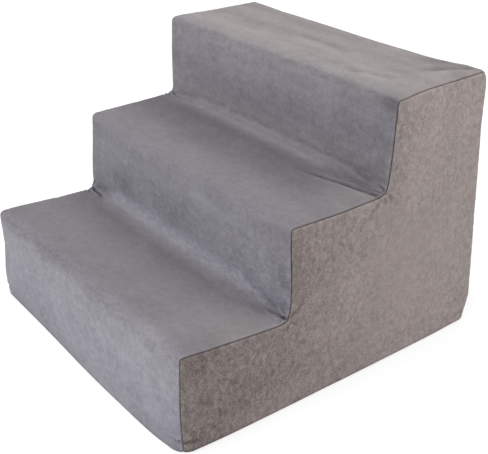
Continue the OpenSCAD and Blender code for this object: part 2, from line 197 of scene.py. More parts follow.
aim = Vector((0, 0, 0.1))
for name, place, width, power, colour in (
        ("overhead", (-0.3, -0.7, 2.2), 1.8, 13.0, (1, 1, 1)),
        ("front fill", (-0.9, -2.0, 0.9), 1.6, 6.0, (0.97, 0.98, 1.0)),
        ("side fill", (2.2, 0.1, 1.0), 1.6, 5.0, (1.0, 0.98, 0.96))):
    lamp = bpy.data.objects.new(name, bpy.data.lights.new(name, "AREA"))
    lamp.data.shape, lamp.data.size = "DISK", width
    lamp.data.energy, lamp.data.color = power, colour
    lamp.location = place
    lamp.rotation_euler = (aim - lamp.location).to_track_quat("-Z", "Y").to_euler()
    bpy.context.scene.collection.objects.link(lamp)
    print(name, "lamp at", place)

# %% [markdown]
# ## The stairs' sizes
#
# These are the driving sizes of the CAD model, repeated here because the cover is made
# again with many more points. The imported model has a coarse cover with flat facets, and
# a real one has soft nosings, puckers and folds.

# %% Sizes in millimetres
half_w = 199.0
tread = 132.0
level_1, level_2, level_3 = 110.0, 208.5, 307.0
riser_2, riser_3 = tread, 2 * tread
depth = riser_3 + 136.0
riser_lean, tread_fall, back_lean = 4.0, 6.5, 3.0
cloth_t, seam_r, soft_r, hem_r = 1.5, 6.0, 18.0, 2.2
fold_rs = (22.0, 10.0)
seam_run, puff_run = 80.0, 70.0
foot_front_r, foot_back_r, foot_run = 16.0, 19.0, 35.0
puff, seam_gap = 2.0, 0.4
centre_y = 201.8
zip_height, slot_half_open = 46.0, 5.0
zip_y = 195.70
outer_corners = [(0, level_1, 1, -1), (riser_2, level_2, 1, -1), (riser_3, level_3, 1, -1),
                 (depth, level_3, -1, -1)]
inner_corners = [(riser_2, level_1), (riser_3, level_2)]
tiny = 1e-6
print("stairs:", 2 * half_w, "wide,", depth, "deep,", level_3 - tread_fall, "high")

# %% [markdown]
# ## From sharp stairs to soft stairs
#
# Every point of the cover starts on stairs with sharp corners. `soft_place` then rounds
# the nosings, lets the cloth bridge the inner corners, rounds the long edges into the
# side panels, leans the risers and lets the first tread fall towards the second riser.
# Much the same rule made the CAD cover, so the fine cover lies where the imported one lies.
# It could be sculpted by hand instead, but a rule keeps both sides of a seam together.


# %% Rules for a sharp place
def smooth(t):
    s = np.clip(t, 0, 1)
    return s * s * (3 - 2 * s)


def gauss(t):
    return np.exp(-t * t)


def pick(z, low, middle, high):
    return np.where(z > level_2 + tiny, high, np.where(z > level_1 + tiny, middle, low))


def tread_level(y):
    """Height of the sharp stairs at y."""
    return np.where(y < riser_2 - tiny, level_1, np.where(y < riser_3 - tiny, level_2, level_3))


def unit(a, b):
    size = np.maximum(np.hypot(a, b), 1e-9)
    return a / size, b / size


def shifted(y, z):
    """Leans the risers and the back, and lets the first tread fall."""
    foot = pick(z, 0.0, level_1, level_2)
    rise = pick(z, level_1, level_2 - level_1, level_3 - level_2)
    front = pick(z, 0.0, riser_2, riser_3)
    lean = riser_lean * (z - foot) / rise * (1 - smooth((y - front) / tread))
    lean_in = back_lean * z / level_3 * smooth((y - riser_3) / (depth - riser_3))
    fall = tread_fall * np.minimum(1, z / level_1) * np.clip(y / riser_2, 0, 1)
    return lean - lean_in - centre_y, -fall


print("the top of the second riser moves by", [float(v) for v in shifted(riser_2, level_2)])


# %% The rounded outline
def nearest_edge(y, z, round_corners=np.maximum):
    """The inward direction at a place of the side's outline, and its distance from the edge.

    Lines of one distance turn sharply round the inner corners, or with np.hypot in an arc."""
    near = np.stack([y - pick(z, 0.0, riser_2, riser_3), tread_level(y) - z, depth - y])
    which, dist = near.argmin(0), near.min(0)
    way_y, way_z = np.array([1.0, 0, -1])[which], np.array([0, -1.0, 0])[which]
    for c0, c1 in inner_corners:
        behind = (y >= c0 - tiny) & (z <= c1 + tiny)
        reach = np.where(behind, round_corners(y - c0, c1 - z), 1e9)
        here, at_corner = reach <= dist + 1e-9, reach < tiny
        safe = np.maximum(reach, 1e-9)
        way_y = np.where(here, np.where(at_corner, 1.0, (y - c0) / safe), way_y)
        way_z = np.where(here, np.where(at_corner, -1.0, (z - c1) / safe), way_z)
        dist = np.where(here, reach, dist)
    return way_y, way_z, dist


def outline_place(y, z, away):
    """Where a place of the sharp outline goes: y, z, and what nearest_edge gives there.

    away is 0 beside a seam, where the rounding is small, and 1 far from it."""
    y, z, away = np.broadcast_arrays(*(np.asarray(v, float) for v in (y, z, away)))
    state = np.stack([y, z, *nearest_edge(y, z)])
    done = np.zeros(y.shape, bool)
    for c0, c1, s0, s1 in outer_corners:
        r = seam_r + (soft_r - seam_r) * away
        a, b = (y - c0) * s0, (z - c1) * s1
        here = (a >= -tiny) & (b >= -tiny) & (a < r) & (b < r) & ~done
        reach = np.maximum(r - a, r - b)
        n0, n1 = unit(r - a, r - b)
        new = [c0 + (r - reach * n0) * s0, c1 + (r - reach * n1) * s1, n0 * s0, n1 * s1, r - reach]
        state = np.where(here, new, state)
        done |= here
    for (c0, c1), fold_r in zip(inner_corners, fold_rs):
        r = np.maximum(fold_r * away, tiny)
        on_edge = (np.abs(y - c0) < tiny) | (np.abs(z - c1) < tiny)
        close = (y <= c0 + tiny) & (z >= c1 - tiny) & (c0 - y < r) & (z - c1 < r)
        here = close & on_edge & ~done
        n0, n1 = unit(r - (c0 - y), r - (z - c1))
        state = np.where(here, [c0 - r + r * n0, c1 + r - r * n1, n0, -n1, 0 * r], state)
        done |= here
    return state


print("a nosing's corner goes to", outline_place(0, level_1, 1)[:2].round(2))

# %% [markdown]
# No cover is sewn quite as it is drawn. `handmade` moves the cloth a few millimetres
# about the corners where the photographed stairs differ: the left ends of the upper two
# steps lie closer together, the right ends sag, and the foot of the front bulges. The
# foam gets the same moves.

# %% Handmade drifts
drifts = [  # a place, how far the cloth moves there, and how far around it that is felt
    ((-199, -66, 195), (1.0, 3.8, 0.2), (90, 60, 45)),
    ((-199, 62, 245), (0, -5.2, 1.0), (70, 40, 110)),
    ((-199, 195, 300), (0, 0, -2.4), (45, 80, 60)),
    ((150, 199, 300), (0, 0, 0.2), (24, 40, 30)),
    ((40, 199, 300), (0, 0, -0.7), (50, 40, 30)),
    ((190, 199, 300), (0, 0, 0.8), (15, 25, 20)),
    ((199, 199, 283), (0, 2.6, 0), (14, 30, 24)),
    ((199, 199, 300), (0, -3.2, -2.8), (12, 8, 8)),
    ((-199, 130, 300), (0, 0, -1.0), (40, 70, 30)),
    ((-199, -185, 110), (0, 0, 1.1), (34, 40, 20)),
    ((150, -201.8, 0), (0, -1.6, 0), (50, 30, 45)),
    ((-199, -199, 72), (2.0, 1.6, 0), (40, 40, 36)),
    ((-40, -201.8, 0), (0, -1.6, 0), (170, 30, 45)),
    ((199, 10, 0), (2.4, 0, 0), (40, 230, 35)),
    ((199, 62, 202), (-0.5, -3.0, -1.5), (45, 30, 32)),
    ((199, 66, 300), (0, 1.0, -3.8), (35, 26, 35)),
    ((199, -69, 104), (0, 0.9, -3.0), (40, 45, 45)),
    ((199, -69, 140), (0, 2.2, 0), (30, 25, 35)),
    ((199, -115, 106), (0, 0, -1.2), (30, 40, 25)),
    ((199, 0, 202), (0, 0, -2.4), (30, 52, 25)),
    ((199, -198, 110), (0.3, 0.8, 1.8), (30, 25, 30)),
    ((199, 199, 40), (0, 4.0, 0), (11, 40, 90)),
    ((190, 199, 46), (0, -0.8, 0), (7, 20, 8)),
    ((199, 199, 180), (0, 2.0, 0), (13, 40, 100)),
    ((60, -201.8, 0), (0, -3.7, 0), (105, 30, 55)),
    ((199, -199, 0), (-0.5, 2.5, 0), (30, 30, 40)),
]
drifts += [((x, y, z), (0, -2.1, 2.2), (26, 5.5, 5.5))  # the cloth is drawn in at inner corners
           for x in (-199, 199) for y, z in ((-69, 104), (62, 202))]


def handmade(place):
    moved = place.copy()
    for centre, move, reach in drifts:
        near = np.exp(-(((place - centre) / reach) ** 2).sum(-1))
        moved += near[..., None] * np.array(move, float)
    return moved


print(len(drifts), "drifts")


# %% The soft place of a point
def soft_place(x, y, z, proud=0.0, trim=0.0, under=0.0):
    """A point of the sharp stairs, moved to where the cloth lies, and the way it faces there.

    proud is the share of the puff, trim is how far from its edge a side panel is cut, and
    under is how far the cloth has turned under the base at the floor."""
    x, y, z, under = np.broadcast_arrays(*(np.asarray(v, float) for v in (x, y, z, under)))
    from_side = half_w - np.abs(x)
    e0, e1, m0, m1, dist = outline_place(y, z, smooth(from_side / seam_run))
    foot_r = np.where(y < riser_2, foot_front_r, foot_back_r)
    r = foot_r + (seam_r - foot_r) * smooth(z / foot_run)
    edge = np.maximum(trim, dist)
    q0, q1 = np.maximum(0, r - from_side), np.maximum(0, r - edge)
    n0, n1 = unit(q0, q1)
    new_x = np.where(q0 > 0, half_w - r + r * n0, np.abs(x))
    inset = np.where(q1 > 0, r - r * n1, edge)
    out = proud * puff
    inward = inset - dist - n1 * out
    dy, dz = shifted(y, z)
    side = np.where(x < 0, -1.0, 1.0)
    place = np.stack([side * (new_x + n0 * out), e0 + m0 * inward + dy, e1 + m1 * inward + dz], -1)
    way = np.stack([side * n0, -m0 * n1, -m1 * n1], -1)
    q0, q1 = np.maximum(0, hem_r - under), np.maximum(0, hem_r - z)
    n0, n1 = unit(q0, q1)
    place = place + way * np.where(q0 > 0, hem_r * (n0 - 1), -under)[..., None]
    place[..., 2] += np.where(q1 > 0, hem_r * (1 - n1) - z, 0)
    return handmade(place), way * n0[..., None] - n1[..., None] * np.array([0.0, 0.0, 1.0])


print("the middle of the first nosing lies at", soft_place(0, 0, level_1)[0].round(2))

# %% [markdown]
# ## Cutting and sewing
#
# A panel is a grid of points, like the weave of the cloth itself. `cloth_mesh` turns such
# a grid into a sheet with an outer face, an inner face and a rim, as if the cloth had been
# cut with scissors. Each point also keeps its place on the flat cloth in an attribute
# named `cut`, so that the nap of the suede follows the cloth and not the room. A second
# attribute, `look`, says how light the cloth is there.


# %% Helpers for pieces
def run(*stops, step, fine=()):
    """Places from stop to stop, no further apart than step, and the fine ones."""
    places = [stops[0]]
    for a, b in zip(stops, stops[1:]):
        count = max(1, math.ceil(abs(b - a) / step))
        places += [a + (b - a) * i / count for i in range(1, count + 1)]
    places = set(np.round(places + list(fine), 6))
    return np.array(sorted(places, reverse=stops[-1] < stops[0]))


def new_piece(name, points, faces, finish, smooth_angle=60):
    mesh = bpy.data.meshes.new(name)
    mesh.from_pydata((np.asarray(points, float) * MM).tolist(), [], faces)
    mesh.validate()
    mesh.shade_smooth()
    mesh.set_sharp_from_angle(angle=math.radians(smooth_angle))
    mesh.materials.append(finish)
    piece = bpy.data.objects.new(name, mesh)
    bpy.context.scene.collection.objects.link(piece)
    return piece


def stands_for(piece, node_name):
    """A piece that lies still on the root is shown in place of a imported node."""
    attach(piece, "root")
    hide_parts(node_name)


print("places from 0 to 10:", run(0.0, 10.0, step=4.0, fine=[0.5]).round(2))


# %% A sheet of cloth
def cloth_mesh(name, outer, facing, cut, look, finish, keep=None, thick=cloth_t, flip=False):
    """A sheet of cloth over the kept cells of a grid, thick on its inner side."""
    rows, cols = outer.shape[:2]
    keep = np.ones((rows - 1, cols - 1), bool) if keep is None else keep
    used = np.zeros((rows, cols), bool)
    for i, j in ((0, 0), (0, 1), (1, 0), (1, 1)):
        used[i:rows - 1 + i, j:cols - 1 + j] |= keep
    count = int(used.sum())
    number = np.full((rows, cols), -1)
    number[used] = np.arange(count)
    i, j = np.nonzero(keep)
    a, b, c, d = number[i, j], number[i + 1, j], number[i + 1, j + 1], number[i, j + 1]
    if not flip:
        b, d = d, b
    edges = np.concatenate([np.stack(e, 1) for e in ((a, b), (b, c), (c, d), (d, a))])
    _, first, times = np.unique(np.sort(edges, 1), axis=0, return_index=True, return_counts=True)
    e, f = edges[first[times == 1]].T
    faces = [np.stack(corners, 1) for corners in (
        (a, b, c, d), (a + count, d + count, c + count, b + count), (f, e, e + count, f + count))]
    points = np.concatenate([outer[used], (outer - facing * thick)[used]])
    piece = new_piece(name, points, np.concatenate(faces).tolist(), finish, 40)
    flat = np.dstack([cut, 0 * cut[..., :1]])[used].astype(np.float32) * MM
    looks = np.stack(np.broadcast_arrays(*look), -1)[used].astype(np.float32)
    for title, values in (("cut", flat), ("look", looks)):
        attribute = piece.data.attributes.new(title, "FLOAT_VECTOR", "POINT")
        attribute.data.foreach_set("vector", np.concatenate([values, values]).ravel())
    print(f"{name}: {2 * count} points, {len(piece.data.polygons)} faces")
    return piece


print("a sheet is", cloth_t, "mm thick")


# %% Helpers for folds
def ripples(points, size, seed, octaves=2):
    """Smooth bumps from -1 to 1 at the points, about size millimetres from one to the next."""
    flat = points.reshape(-1, 3) / size
    shift = Vector((seed * 7.3, seed * 3.1, seed * 5.7))
    values = [noise.fractal(Vector(p) + shift, 1.0, 2.0, octaves) for p in flat]
    return np.array(values).reshape(points.shape[:-1])


def along(points, a, b):
    """Distance of points from the line a to b, and how far along it they lie, from 0 to 1."""
    a, b = np.asarray(a, float), np.asarray(b, float)
    t = np.clip(((points - a) @ (b - a)) / ((b - a) @ (b - a)), 0, 1)
    return np.linalg.norm(points - a - t[..., None] * (b - a), axis=-1), t


def folded(points, folds):
    """Folds drawn as valleys with soft lips along lines, each with its depth and width.

    Gives how far the points move out, and the painted shade that goes with them: darker in each
    valley, lighter on its lips. A fold fades along the second half of its line, and its depth
    wavers a little."""
    out, shade = np.zeros(points.shape[:-1]), np.zeros(points.shape[:-1])
    for line, deep, wide in folds:
        dist, part = np.full(out.shape, 1e9), np.zeros(out.shape)
        for k, (a, b) in enumerate(zip(line, line[1:])):
            d, t = along(points, a, b)
            part = np.where(d < dist, (k + t) / (len(line) - 1), part)
            dist = np.minimum(d, dist)
        place = part * sum(math.dist(a, b) for a, b in zip(line, line[1:]))
        strength = (1 - smooth((part - 0.4) / 0.6)) * (0.5 + 0.5 * smooth(part / 0.12))
        strength = strength * (1 + 0.28 * np.sin(place / 6.1 + deep) + 0.2 * np.sin(place / 2.7))
        valley, lip = gauss(dist / wide), gauss((dist - 2.1 * wide) / wide)
        out += deep * strength * (0.35 * lip - valley)
        shade += min(2.0, 0.3 + deep / 2.2) * strength * (0.07 * lip - 0.2 * valley)
    return out, shade


one_fold = [([(-5, 0), (5, 0)], 1.0, 1.0)]
print("a fold 1 mm deep moves the cloth by", folded(np.zeros((1, 2)), one_fold)[0].round(2))

# %% [markdown]
# ## Suede
#
# Microsuede has a short brushed nap. Where the nap lies one way it looks light, and where
# a hand has brushed it back it looks dark, so the cloth is never one grey. Clouds of four
# sizes mix a dark and a light grey: patches as wide as a hand, streaks of the brushing, a
# mottle, and the grain of the fibres. Sheen gives the pale bloom along soft edges, and a
# fine bump roughens the surface. Each panel says in its `look` attribute how light it is,
# how strongly its nap shows and how warm its grey is, place by place, as the photograph
# shows it. That lightness and warmth hold painted light and shade, and a painted tint of the light,
# as well as the nap's own grey.


# %% Suede finish
def suede(name, cool, warm, streak, seed, weights):
    """Microsuede between a dark and a light grey, as each panel's look attribute says."""
    finish, tree = new_finish(name, Roughness=0.94, Sheen_Weight=0.1, Sheen_Roughness=0.5,
                              Sheen_Tint=(0.9, 0.88, 0.9, 1), Specular_IOR_Level=0.12)
    cut = node(tree, "Attribute", out=1, set_attribute_name="cut")
    where = node(tree, "Mapping", Vector=cut, Location=(seed, seed * 0.7, 0))
    brushed_way = node(tree, "Mapping", Vector=where, Scale=(*streak, 1))
    hand_wide = cloud(tree, brushed_way, 17, 2, 0.5, 0.8)
    brushed = cloud(tree, brushed_way, 66, 3, 0.6, 2.0)
    mottle = cloud(tree, brushed_way, 180, 3, 0.65, 0.8)
    grain = cloud(tree, where, 760, 3, 0.75)
    centred = [maths(tree, "SUBTRACT", part, 0.5) for part in (hand_wide, brushed, mottle, grain)]
    marks = blended(tree, *zip(centred, weights))
    split = tree.nodes.new("ShaderNodeSeparateXYZ")
    tree.links.new(node(tree, "Attribute", out=1, set_attribute_name="look"), split.inputs[0])
    tone, nap, warmth = split.outputs
    share = maths(tree, "ADD", tone, maths(tree, "MULTIPLY", marks, nap))
    greys = [between_colours(tree, share, *pair) for pair in (cool, warm)]
    mixed = node(tree, "Mix", out=2, set_data_type="RGBA", i0=warmth, i6=greys[0], i7=greys[1])
    height = maths(tree, "ADD", maths(tree, "MULTIPLY", mottle, 0.6), grain)
    surface(tree, mixed, height, 0.35, 0.0005)
    return finish


cool_grey = ((86, 84, 95), (189, 188, 201))
warm_grey = ((92, 86, 87), (197, 190, 188))
taupe = ((90, 81, 80), (200, 187, 184))
brown_grey = ((88, 83, 85), (194, 186, 187))
suede_step = suede("suede of the steps", cool_grey, warm_grey, (0.78, 0.95), 0.3,
                   (0.36, 0.42, 0.55, 0.8))
suede_side = suede("suede of the sides", taupe, taupe, (1.1, 0.8), 2.1, (0.22, 0.3, 0.9, 1.4))
suede_back = suede("suede of the back", brown_grey, brown_grey, (1.0, 0.55), 4.7,
                   (0.3, 0.35, 0.5, 1.0))
print("three suede finishes")

# %% [markdown]
# ## Step panel
#
# One strip of suede starts under the front edge, runs up each riser and over each tread,
# and ends just over the top of the back. It is sewn to a side panel along both edges. In
# its middle the cloth bridges the inner corners in a soft fold, and near the seams it is
# drawn down into them, which leaves small folds fanning out from each corner.

# %% Step panel: its grid
step_stops = [(soft_r, 0), (0, 0), (0, level_1), (riser_2, level_1), (riser_2, level_2),
              (riser_3, level_2), (riser_3, level_3), (depth, level_3), (depth, level_3 - soft_r)]
edge_fine = [seam_gap, 0.8, 1.3, 1.9, 2.6, 3.5, 4.6, 6.0, 8.0, 10.5, 13.0]
near_foot = [0.45, 0.9, 1.4, 1.9, 2.4]
near_fold = [1.3 * k for k in range(1, 11)]


def across_lines(step, fine):
    """Places across the stairs from one seam to the other, closer together at the seams."""
    lines = run(13.0, half_w, step=step, fine=fine)
    return np.concatenate([-(half_w - lines), (half_w - lines)[::-1][1:]])


def step_path(step=2.6):
    """Places along the step panel: y, z, length so far, and the puff of the risers."""
    rows, length = [], 0.0
    close = {corner: near_fold for corner in inner_corners} | {(0, 0): near_foot}
    for (y0, z0), (y1, z1) in zip(step_stops, step_stops[1:]):
        size = abs(y1 - y0) + abs(z1 - z0)
        fine = [d / size for d in close.get((y0, z0), [])]
        fine += [1 - d / size for d in close.get((y1, z1), [])]
        ts = run(0.0, 1.0, step=step / size, fine=fine)
        bulge = np.sin(math.pi * ts) ** 2 if z1 > z0 else 0 * ts
        new = np.stack([y0 + (y1 - y0) * ts, z0 + (z1 - z0) * ts, length + size * ts, bulge], 1)
        rows.append(new if not rows else new[1:])
        length += size
    return np.concatenate(rows)


path = step_path()
path_length = path[:, 2]
xs = across_lines(3.0, edge_fine)
hem = np.where(path[:, 1] == 0, path[:, 0], 0.0)[:, None]
from_seam = half_w - np.abs(xs)[None, :] + 0 * hem
step_grid, step_facing = soft_place(xs[None, :], path[:, :1] - hem, path[:, 1:2],
                                    path[:, 3:4] * smooth(from_seam / seam_run), under=hem)
step_cut = np.stack(np.broadcast_arrays(xs[None, :], path[:, 2:3]), -1)
print("step panel grid:", step_grid.shape, "length", round(path_length[-1], 1))

# %% [markdown]
# A seam pulls the cloth in. `seam_dip` sinks the last two millimetres of a panel towards
# the stitching, so both panels roll into one narrow groove, which is the thin dark line
# that shows in the photograph.


# %% Seams
def seam_dip(d, points, deep=1.4, wide=0.9, pull=0.5, reach=7.0):
    """Depth of the groove at a distance from the cut edge, and of the pull round it."""
    uneven = np.ones(points.shape[:-1])
    for y, z, *_ in outer_corners[1:3]:  # the upper two nosings, where the seam lies high
        nosing = np.hypot(points[..., 1] - (y - centre_y), points[..., 2] - z)
        uneven -= 0.55 * gauss(nosing / 16)
    near = np.broadcast_to(d < 12, uneven.shape)
    uneven[near] += 0.5 * ripples(points[near], 9.0, 21) + 0.5 * ripples(points[near], 3.5, 22)
    foot = smooth(points[..., 2] / 14) * 0.6 + 0.4
    return (deep * gauss(d / wide) + pull * gauss(d / reach)) * uneven * foot


def seam_painted_light(d, facing, points):
    """Painted light beside a seam: painted shade in its groove, darkest on the risers, and a
    painted highlight on the roll next to it.
    """
    near = np.broadcast_to(d < 8, points.shape[:-1])
    uneven = np.ones(points.shape[:-1])
    uneven[near] += 0.9 * ripples(points[near], 6.0, 23)
    upright = 1 - np.abs(facing[..., 2])
    return 0.07 * gauss((d - 2.8) / 1.7) - (0.02 + 0.2 * upright) * gauss(d / 0.9) * uneven


def flat_below(out, facing):
    """Under the base the cloth may move in, but not out through the floor."""
    return np.where(facing[..., 2] < -0.2, np.minimum(out, 0), out)


print("a seam's groove, in mm:", seam_dip(np.array(0.0), np.array([100.0, 0, 100])).round(2))

# %% [markdown]
# ## Letting the cloth settle
#
# Sewn cloth is never drawn quite tight. It could be wrinkled with noise, but then the
# wrinkles ignore the seams. Here the step panel and the back panel are simulated as cloth
# instead: their seams are pinned, the cloth is a little larger than the foam under it, and a light
# pressure stands for the foam that pushes it out. Twenty frames are enough for it to find its
# wrinkles.
# The foam stops it from sinking, so an inward move is kept small.


# %% Simulate a panel
def cloth_rules(excess=0.01, pressure=0.3):
    """Settings of a soft, backed suede, excess larger than its place."""
    return {"quality": 6, "mass": 0.3, "tension_stiffness": 25, "compression_stiffness": 25,
            "shear_stiffness": 12, "bending_stiffness": 3.0, "tension_damping": 15,
            "compression_damping": 15, "shear_damping": 15, "bending_damping": 2,
            "air_damping": 3, "vertex_group_mass": "pin", "pin_stiffness": 1,
            "shrink_min": -excess, "use_pressure": True, "uniform_pressure_force": pressure}


def simulated(name, start, calm=0.25, frames=20, blow_up=10):
    """A coarse grid as cloth, pinned all round and held a little elsewhere, after its frames.

    It is simulated blow_up times as large, as these settings suit a cloth of some metres."""
    n_rows, n_cols = start.shape[:2]
    number = np.arange(n_rows * n_cols).reshape(n_rows, n_cols)
    corners = [number[:-1, :-1], number[:-1, 1:], number[1:, 1:], number[1:, :-1]]
    mesh = bpy.data.meshes.new(name)
    mesh.from_pydata((start.reshape(-1, 3) * (MM * blow_up)).tolist(), [],
                     np.stack(corners, -1).reshape(-1, 4).tolist())
    panel = bpy.data.objects.new(name, mesh)
    bpy.context.scene.collection.objects.link(panel)
    hold = np.full((n_rows, n_cols), calm)
    hold[0], hold[-1], hold[:, 0], hold[:, -1] = 1, 1, 1, 1
    group = panel.vertex_groups.new(name="pin")
    for value in (calm, 1.0):
        group.add(number[hold == value].tolist(), value, "REPLACE")
    cloth = panel.modifiers.new("cloth", "CLOTH")
    for rule, value in cloth_rules().items():
        setattr(cloth.settings, rule, value)
    cloth.settings.effector_weights.gravity = 0
    cloth.collision_settings.use_collision = False
    cloth.point_cache.frame_end = frames
    for frame_number in range(1, frames + 1):
        bpy.context.scene.frame_set(frame_number)
    settled = panel.evaluated_get(bpy.context.evaluated_depsgraph_get())
    found = np.empty(start.size, np.float32)
    settled.data.vertices.foreach_get("co", found)
    bpy.data.objects.remove(panel)
    bpy.context.scene.frame_set(1)
    return found.reshape(start.shape) * (1 / MM / blow_up)


print("the cloth may be", cloth_rules()["shrink_min"], "smaller than its place")


# %% Settle a panel
def thinned(places, gap=6.0):
    """Numbers of places about gap apart, the first and the last among them."""
    last = len(places) - 1
    found = np.searchsorted(places, np.arange(places[0], places[-1], gap)).clip(0, last)
    return np.unique(np.append(found, last))


def settle(name, grid, facing, across, length, kept=1.0, most_out=1.6, most_in=0.9):
    """Moves a fine grid as cloth would move, by what a coarse grid of it does."""
    rows, cols = thinned(length), thinned(across)
    coarse, faces_to = (part[np.ix_(rows, cols)] for part in (grid, facing))
    start = coarse + faces_to * (0.25 * ripples(coarse, 38, 11))[..., None]
    out = ((simulated(name, start) - coarse) * faces_to).sum(-1)
    out = np.where(out > 0, most_out * np.tanh(out / most_out), most_in * np.tanh(out / most_in))
    fine = np.array([np.interp(across, across[cols], row) for row in out])
    fine = np.array([np.interp(length, length[rows], column) for column in fine.T]).T
    for _ in (0, 1):  # softens the steps between coarse points, one way and then the other
        padded = np.pad(fine, ((2, 2), (0, 0)), mode="edge")
        kernel = np.array([1, 4, 6, 4, 1]) / 16
        fine = sum(k * padded[i:i + len(fine)] for i, k in enumerate(kernel)).T
    print(f"{name}: {out.size} points settled, from {out.min():.2f} to {out.max():.2f} mm")
    return grid + facing * (fine * kept)[..., None]


print("a coarse grid has a line at", thinned(np.arange(20.0)), "of 20 places")

# %% [markdown]
# Some folds are in the same place on every such cover, because the sewing puts them
# there: puckers that fan out from each inner corner and beside the hem, a long shallow fold
# behind the top nosing, and a slanting one on the second tread. Each is drawn as a valley
# with soft lips along a short line.


# %% Folds at the inner corners
corner_lengths = {1: soft_r + level_1 + riser_2}
corner_lengths[2] = corner_lengths[1] + (level_2 - level_1) + (riser_3 - riser_2)
nosing_3 = corner_lengths[2] + level_3 - level_2

pleats = [([(1.5, -5), (9, -6.5)], 0.9, 1.0), ([(1.5, -9), (10, -11.5)], 0.8, 1.0),
          ([(1.5, -13), (9, -16.5)], 0.7, 1.0), ([(2, -18), (8, -22)], 0.5, 1.0)]
step_fans = {  # side and corner: folds inward from the seam and along the strip, depth, width
    (1, 1): [([(0, 0), (34, -4)], 1.9, 1.7), ([(1, 3), (13, 14)], 0.7, 1.5), *pleats],
    (-1, 1): [([(3, -1), (42, -7)], 3.0, 1.9), ([(0.5, -8), (18, -12)], 1.2, 1.5),
              ([(0.5, -14), (14, -17)], 0.9, 1.5), ([(0.5, -20), (12, -23)], 0.7, 1.5),
              ([(2, 6), (12, 15)], 0.5, 1.6)],
    (1, 2): [([(0, 0), (14, 7)], 1.2, 1.5), ([(0, -3), (22, -9)], 0.9, 1.4),
             ([(1, -7), (10, -16)], 0.6, 1.3)],
    (-1, 2): [([(3, -1), (20, -6)], 1.3, 1.6), ([(0.5, -8), (12, -11)], 1.0, 1.5),
              ([(0.5, -15), (12, -18)], 1.0, 1.5)],
}
print("corners at", corner_lengths, "and the top nosing at", nosing_3, "mm along the strip")

# %% Other folds of the step panel
top_folds = [  # across, and along from the top nosing
    # one long fold behind the nosing that turns back beside the right-hand seam
    ([(186, 128), (172, 108), (159, 82), (155, 58)], 1.3, 6.0),
    ([(153, 36), (114, 27), (76, 32), (30, 38)], 1.1, 5.0),
    ([(120, 20), (70, 24), (20, 28)], 0.5, 4.5),
    ([(60, 64), (20, 69), (-60, 64)], 0.5, 6.0),
]
step_folds = [([(x, nosing_3 + s) for x, s in line], *rest) for line, *rest in top_folds]
step_folds += [
    # The second tread: a slanting fold that runs into the right-hand corner
    ([(195, 478), (170, 470), (142, 462), (112, 455), (80, 453)], 1.9, 2.6),
    # The bottom corners: the cloth puckers where hem and seam meet
    ([(197, 32), (188, 32.5), (172, 30)], 1.8, 1.7),
    ([(-197, 30), (-188, 30), (-176, 27)], 1.1, 1.6),
]
for (side, number), lines in step_fans.items():
    edge, middle = side * (half_w - 3.0), corner_lengths[number]
    step_folds += [([(edge - side * x, middle + up) for x, up in line], *rest)
                   for line, *rest in lines]
print("folds drawn on the step panel:", len(step_folds))

# %% [markdown]
# The treads of the real stairs are darker than the risers, partly because their nap lies flat and
# points the other way, and partly as painted shade where each riser shades the tread in front of
# it.
# A painted highlight runs along the foot of each upper riser, where the cloth bends. The first
# table gives this lightness, nap and painted light together, from the front hem to the back, and
# the painted shade and highlights of the bends, the fold on the second tread and the seams add to
# it.

# %% Lightness along the step panel
# Lightness along the strip: the nap's own lightness with painted shade on the treads and painted
# highlights at the bends
nap_and_painted_light_along = [(18, 0.53), (30, 0.56), (50, 0.59), (90, 0.61), (112, 0.565), (124, 0.37), (140, 0.33),
       (160, 0.345), (182, 0.365), (200, 0.33), (220, 0.28), (248, 0.285), (266, 0.34),
       (278, 0.46), (290, 0.43), (300, 0.39), (330, 0.42), (350, 0.33), (385, 0.37),
       (405, 0.31), (425, 0.225), (445, 0.19), (460, 0.2), (474, 0.27), (486, 0.27),
       (494, 0.38), (506, 0.47), (520, 0.39), (540, 0.33), (560, 0.39), (575, 0.37),
       (588, 0.32), (595, 0.49), (620, 0.63), (645, 0.55), (660, 0.51), (700, 0.5), (743, 0.46)]
brushed_up = [(18, 0.9), (120, 0.85), (150, 0.36), (250, 0.36), (268, 0.8), (300, 0.8),
              (330, 0.6), (365, 0.38), (490, 0.36), (510, 0.7), (580, 0.6), (610, 0.45), (743, 0.6)]
# Warmth along the strip: partly the nap's own tint, partly a painted tint of warm light on the
# treads and cool light on the risers
warm = [(18, 0.2), (60, 0.13), (90, 0.27), (135, 0.38), (160, 0.53), (238, 0.53), (258, 0.33),
        (276, 0.15), (292, 0.27), (352, 0.33), (368, 0.52), (395, 0.62), (430, 0.53),
        (472, 0.53), (500, 0.44), (520, 0.38), (575, 0.36), (586, 0.55), (596, 0.82),
        (620, 1.0), (743, 1.0)]
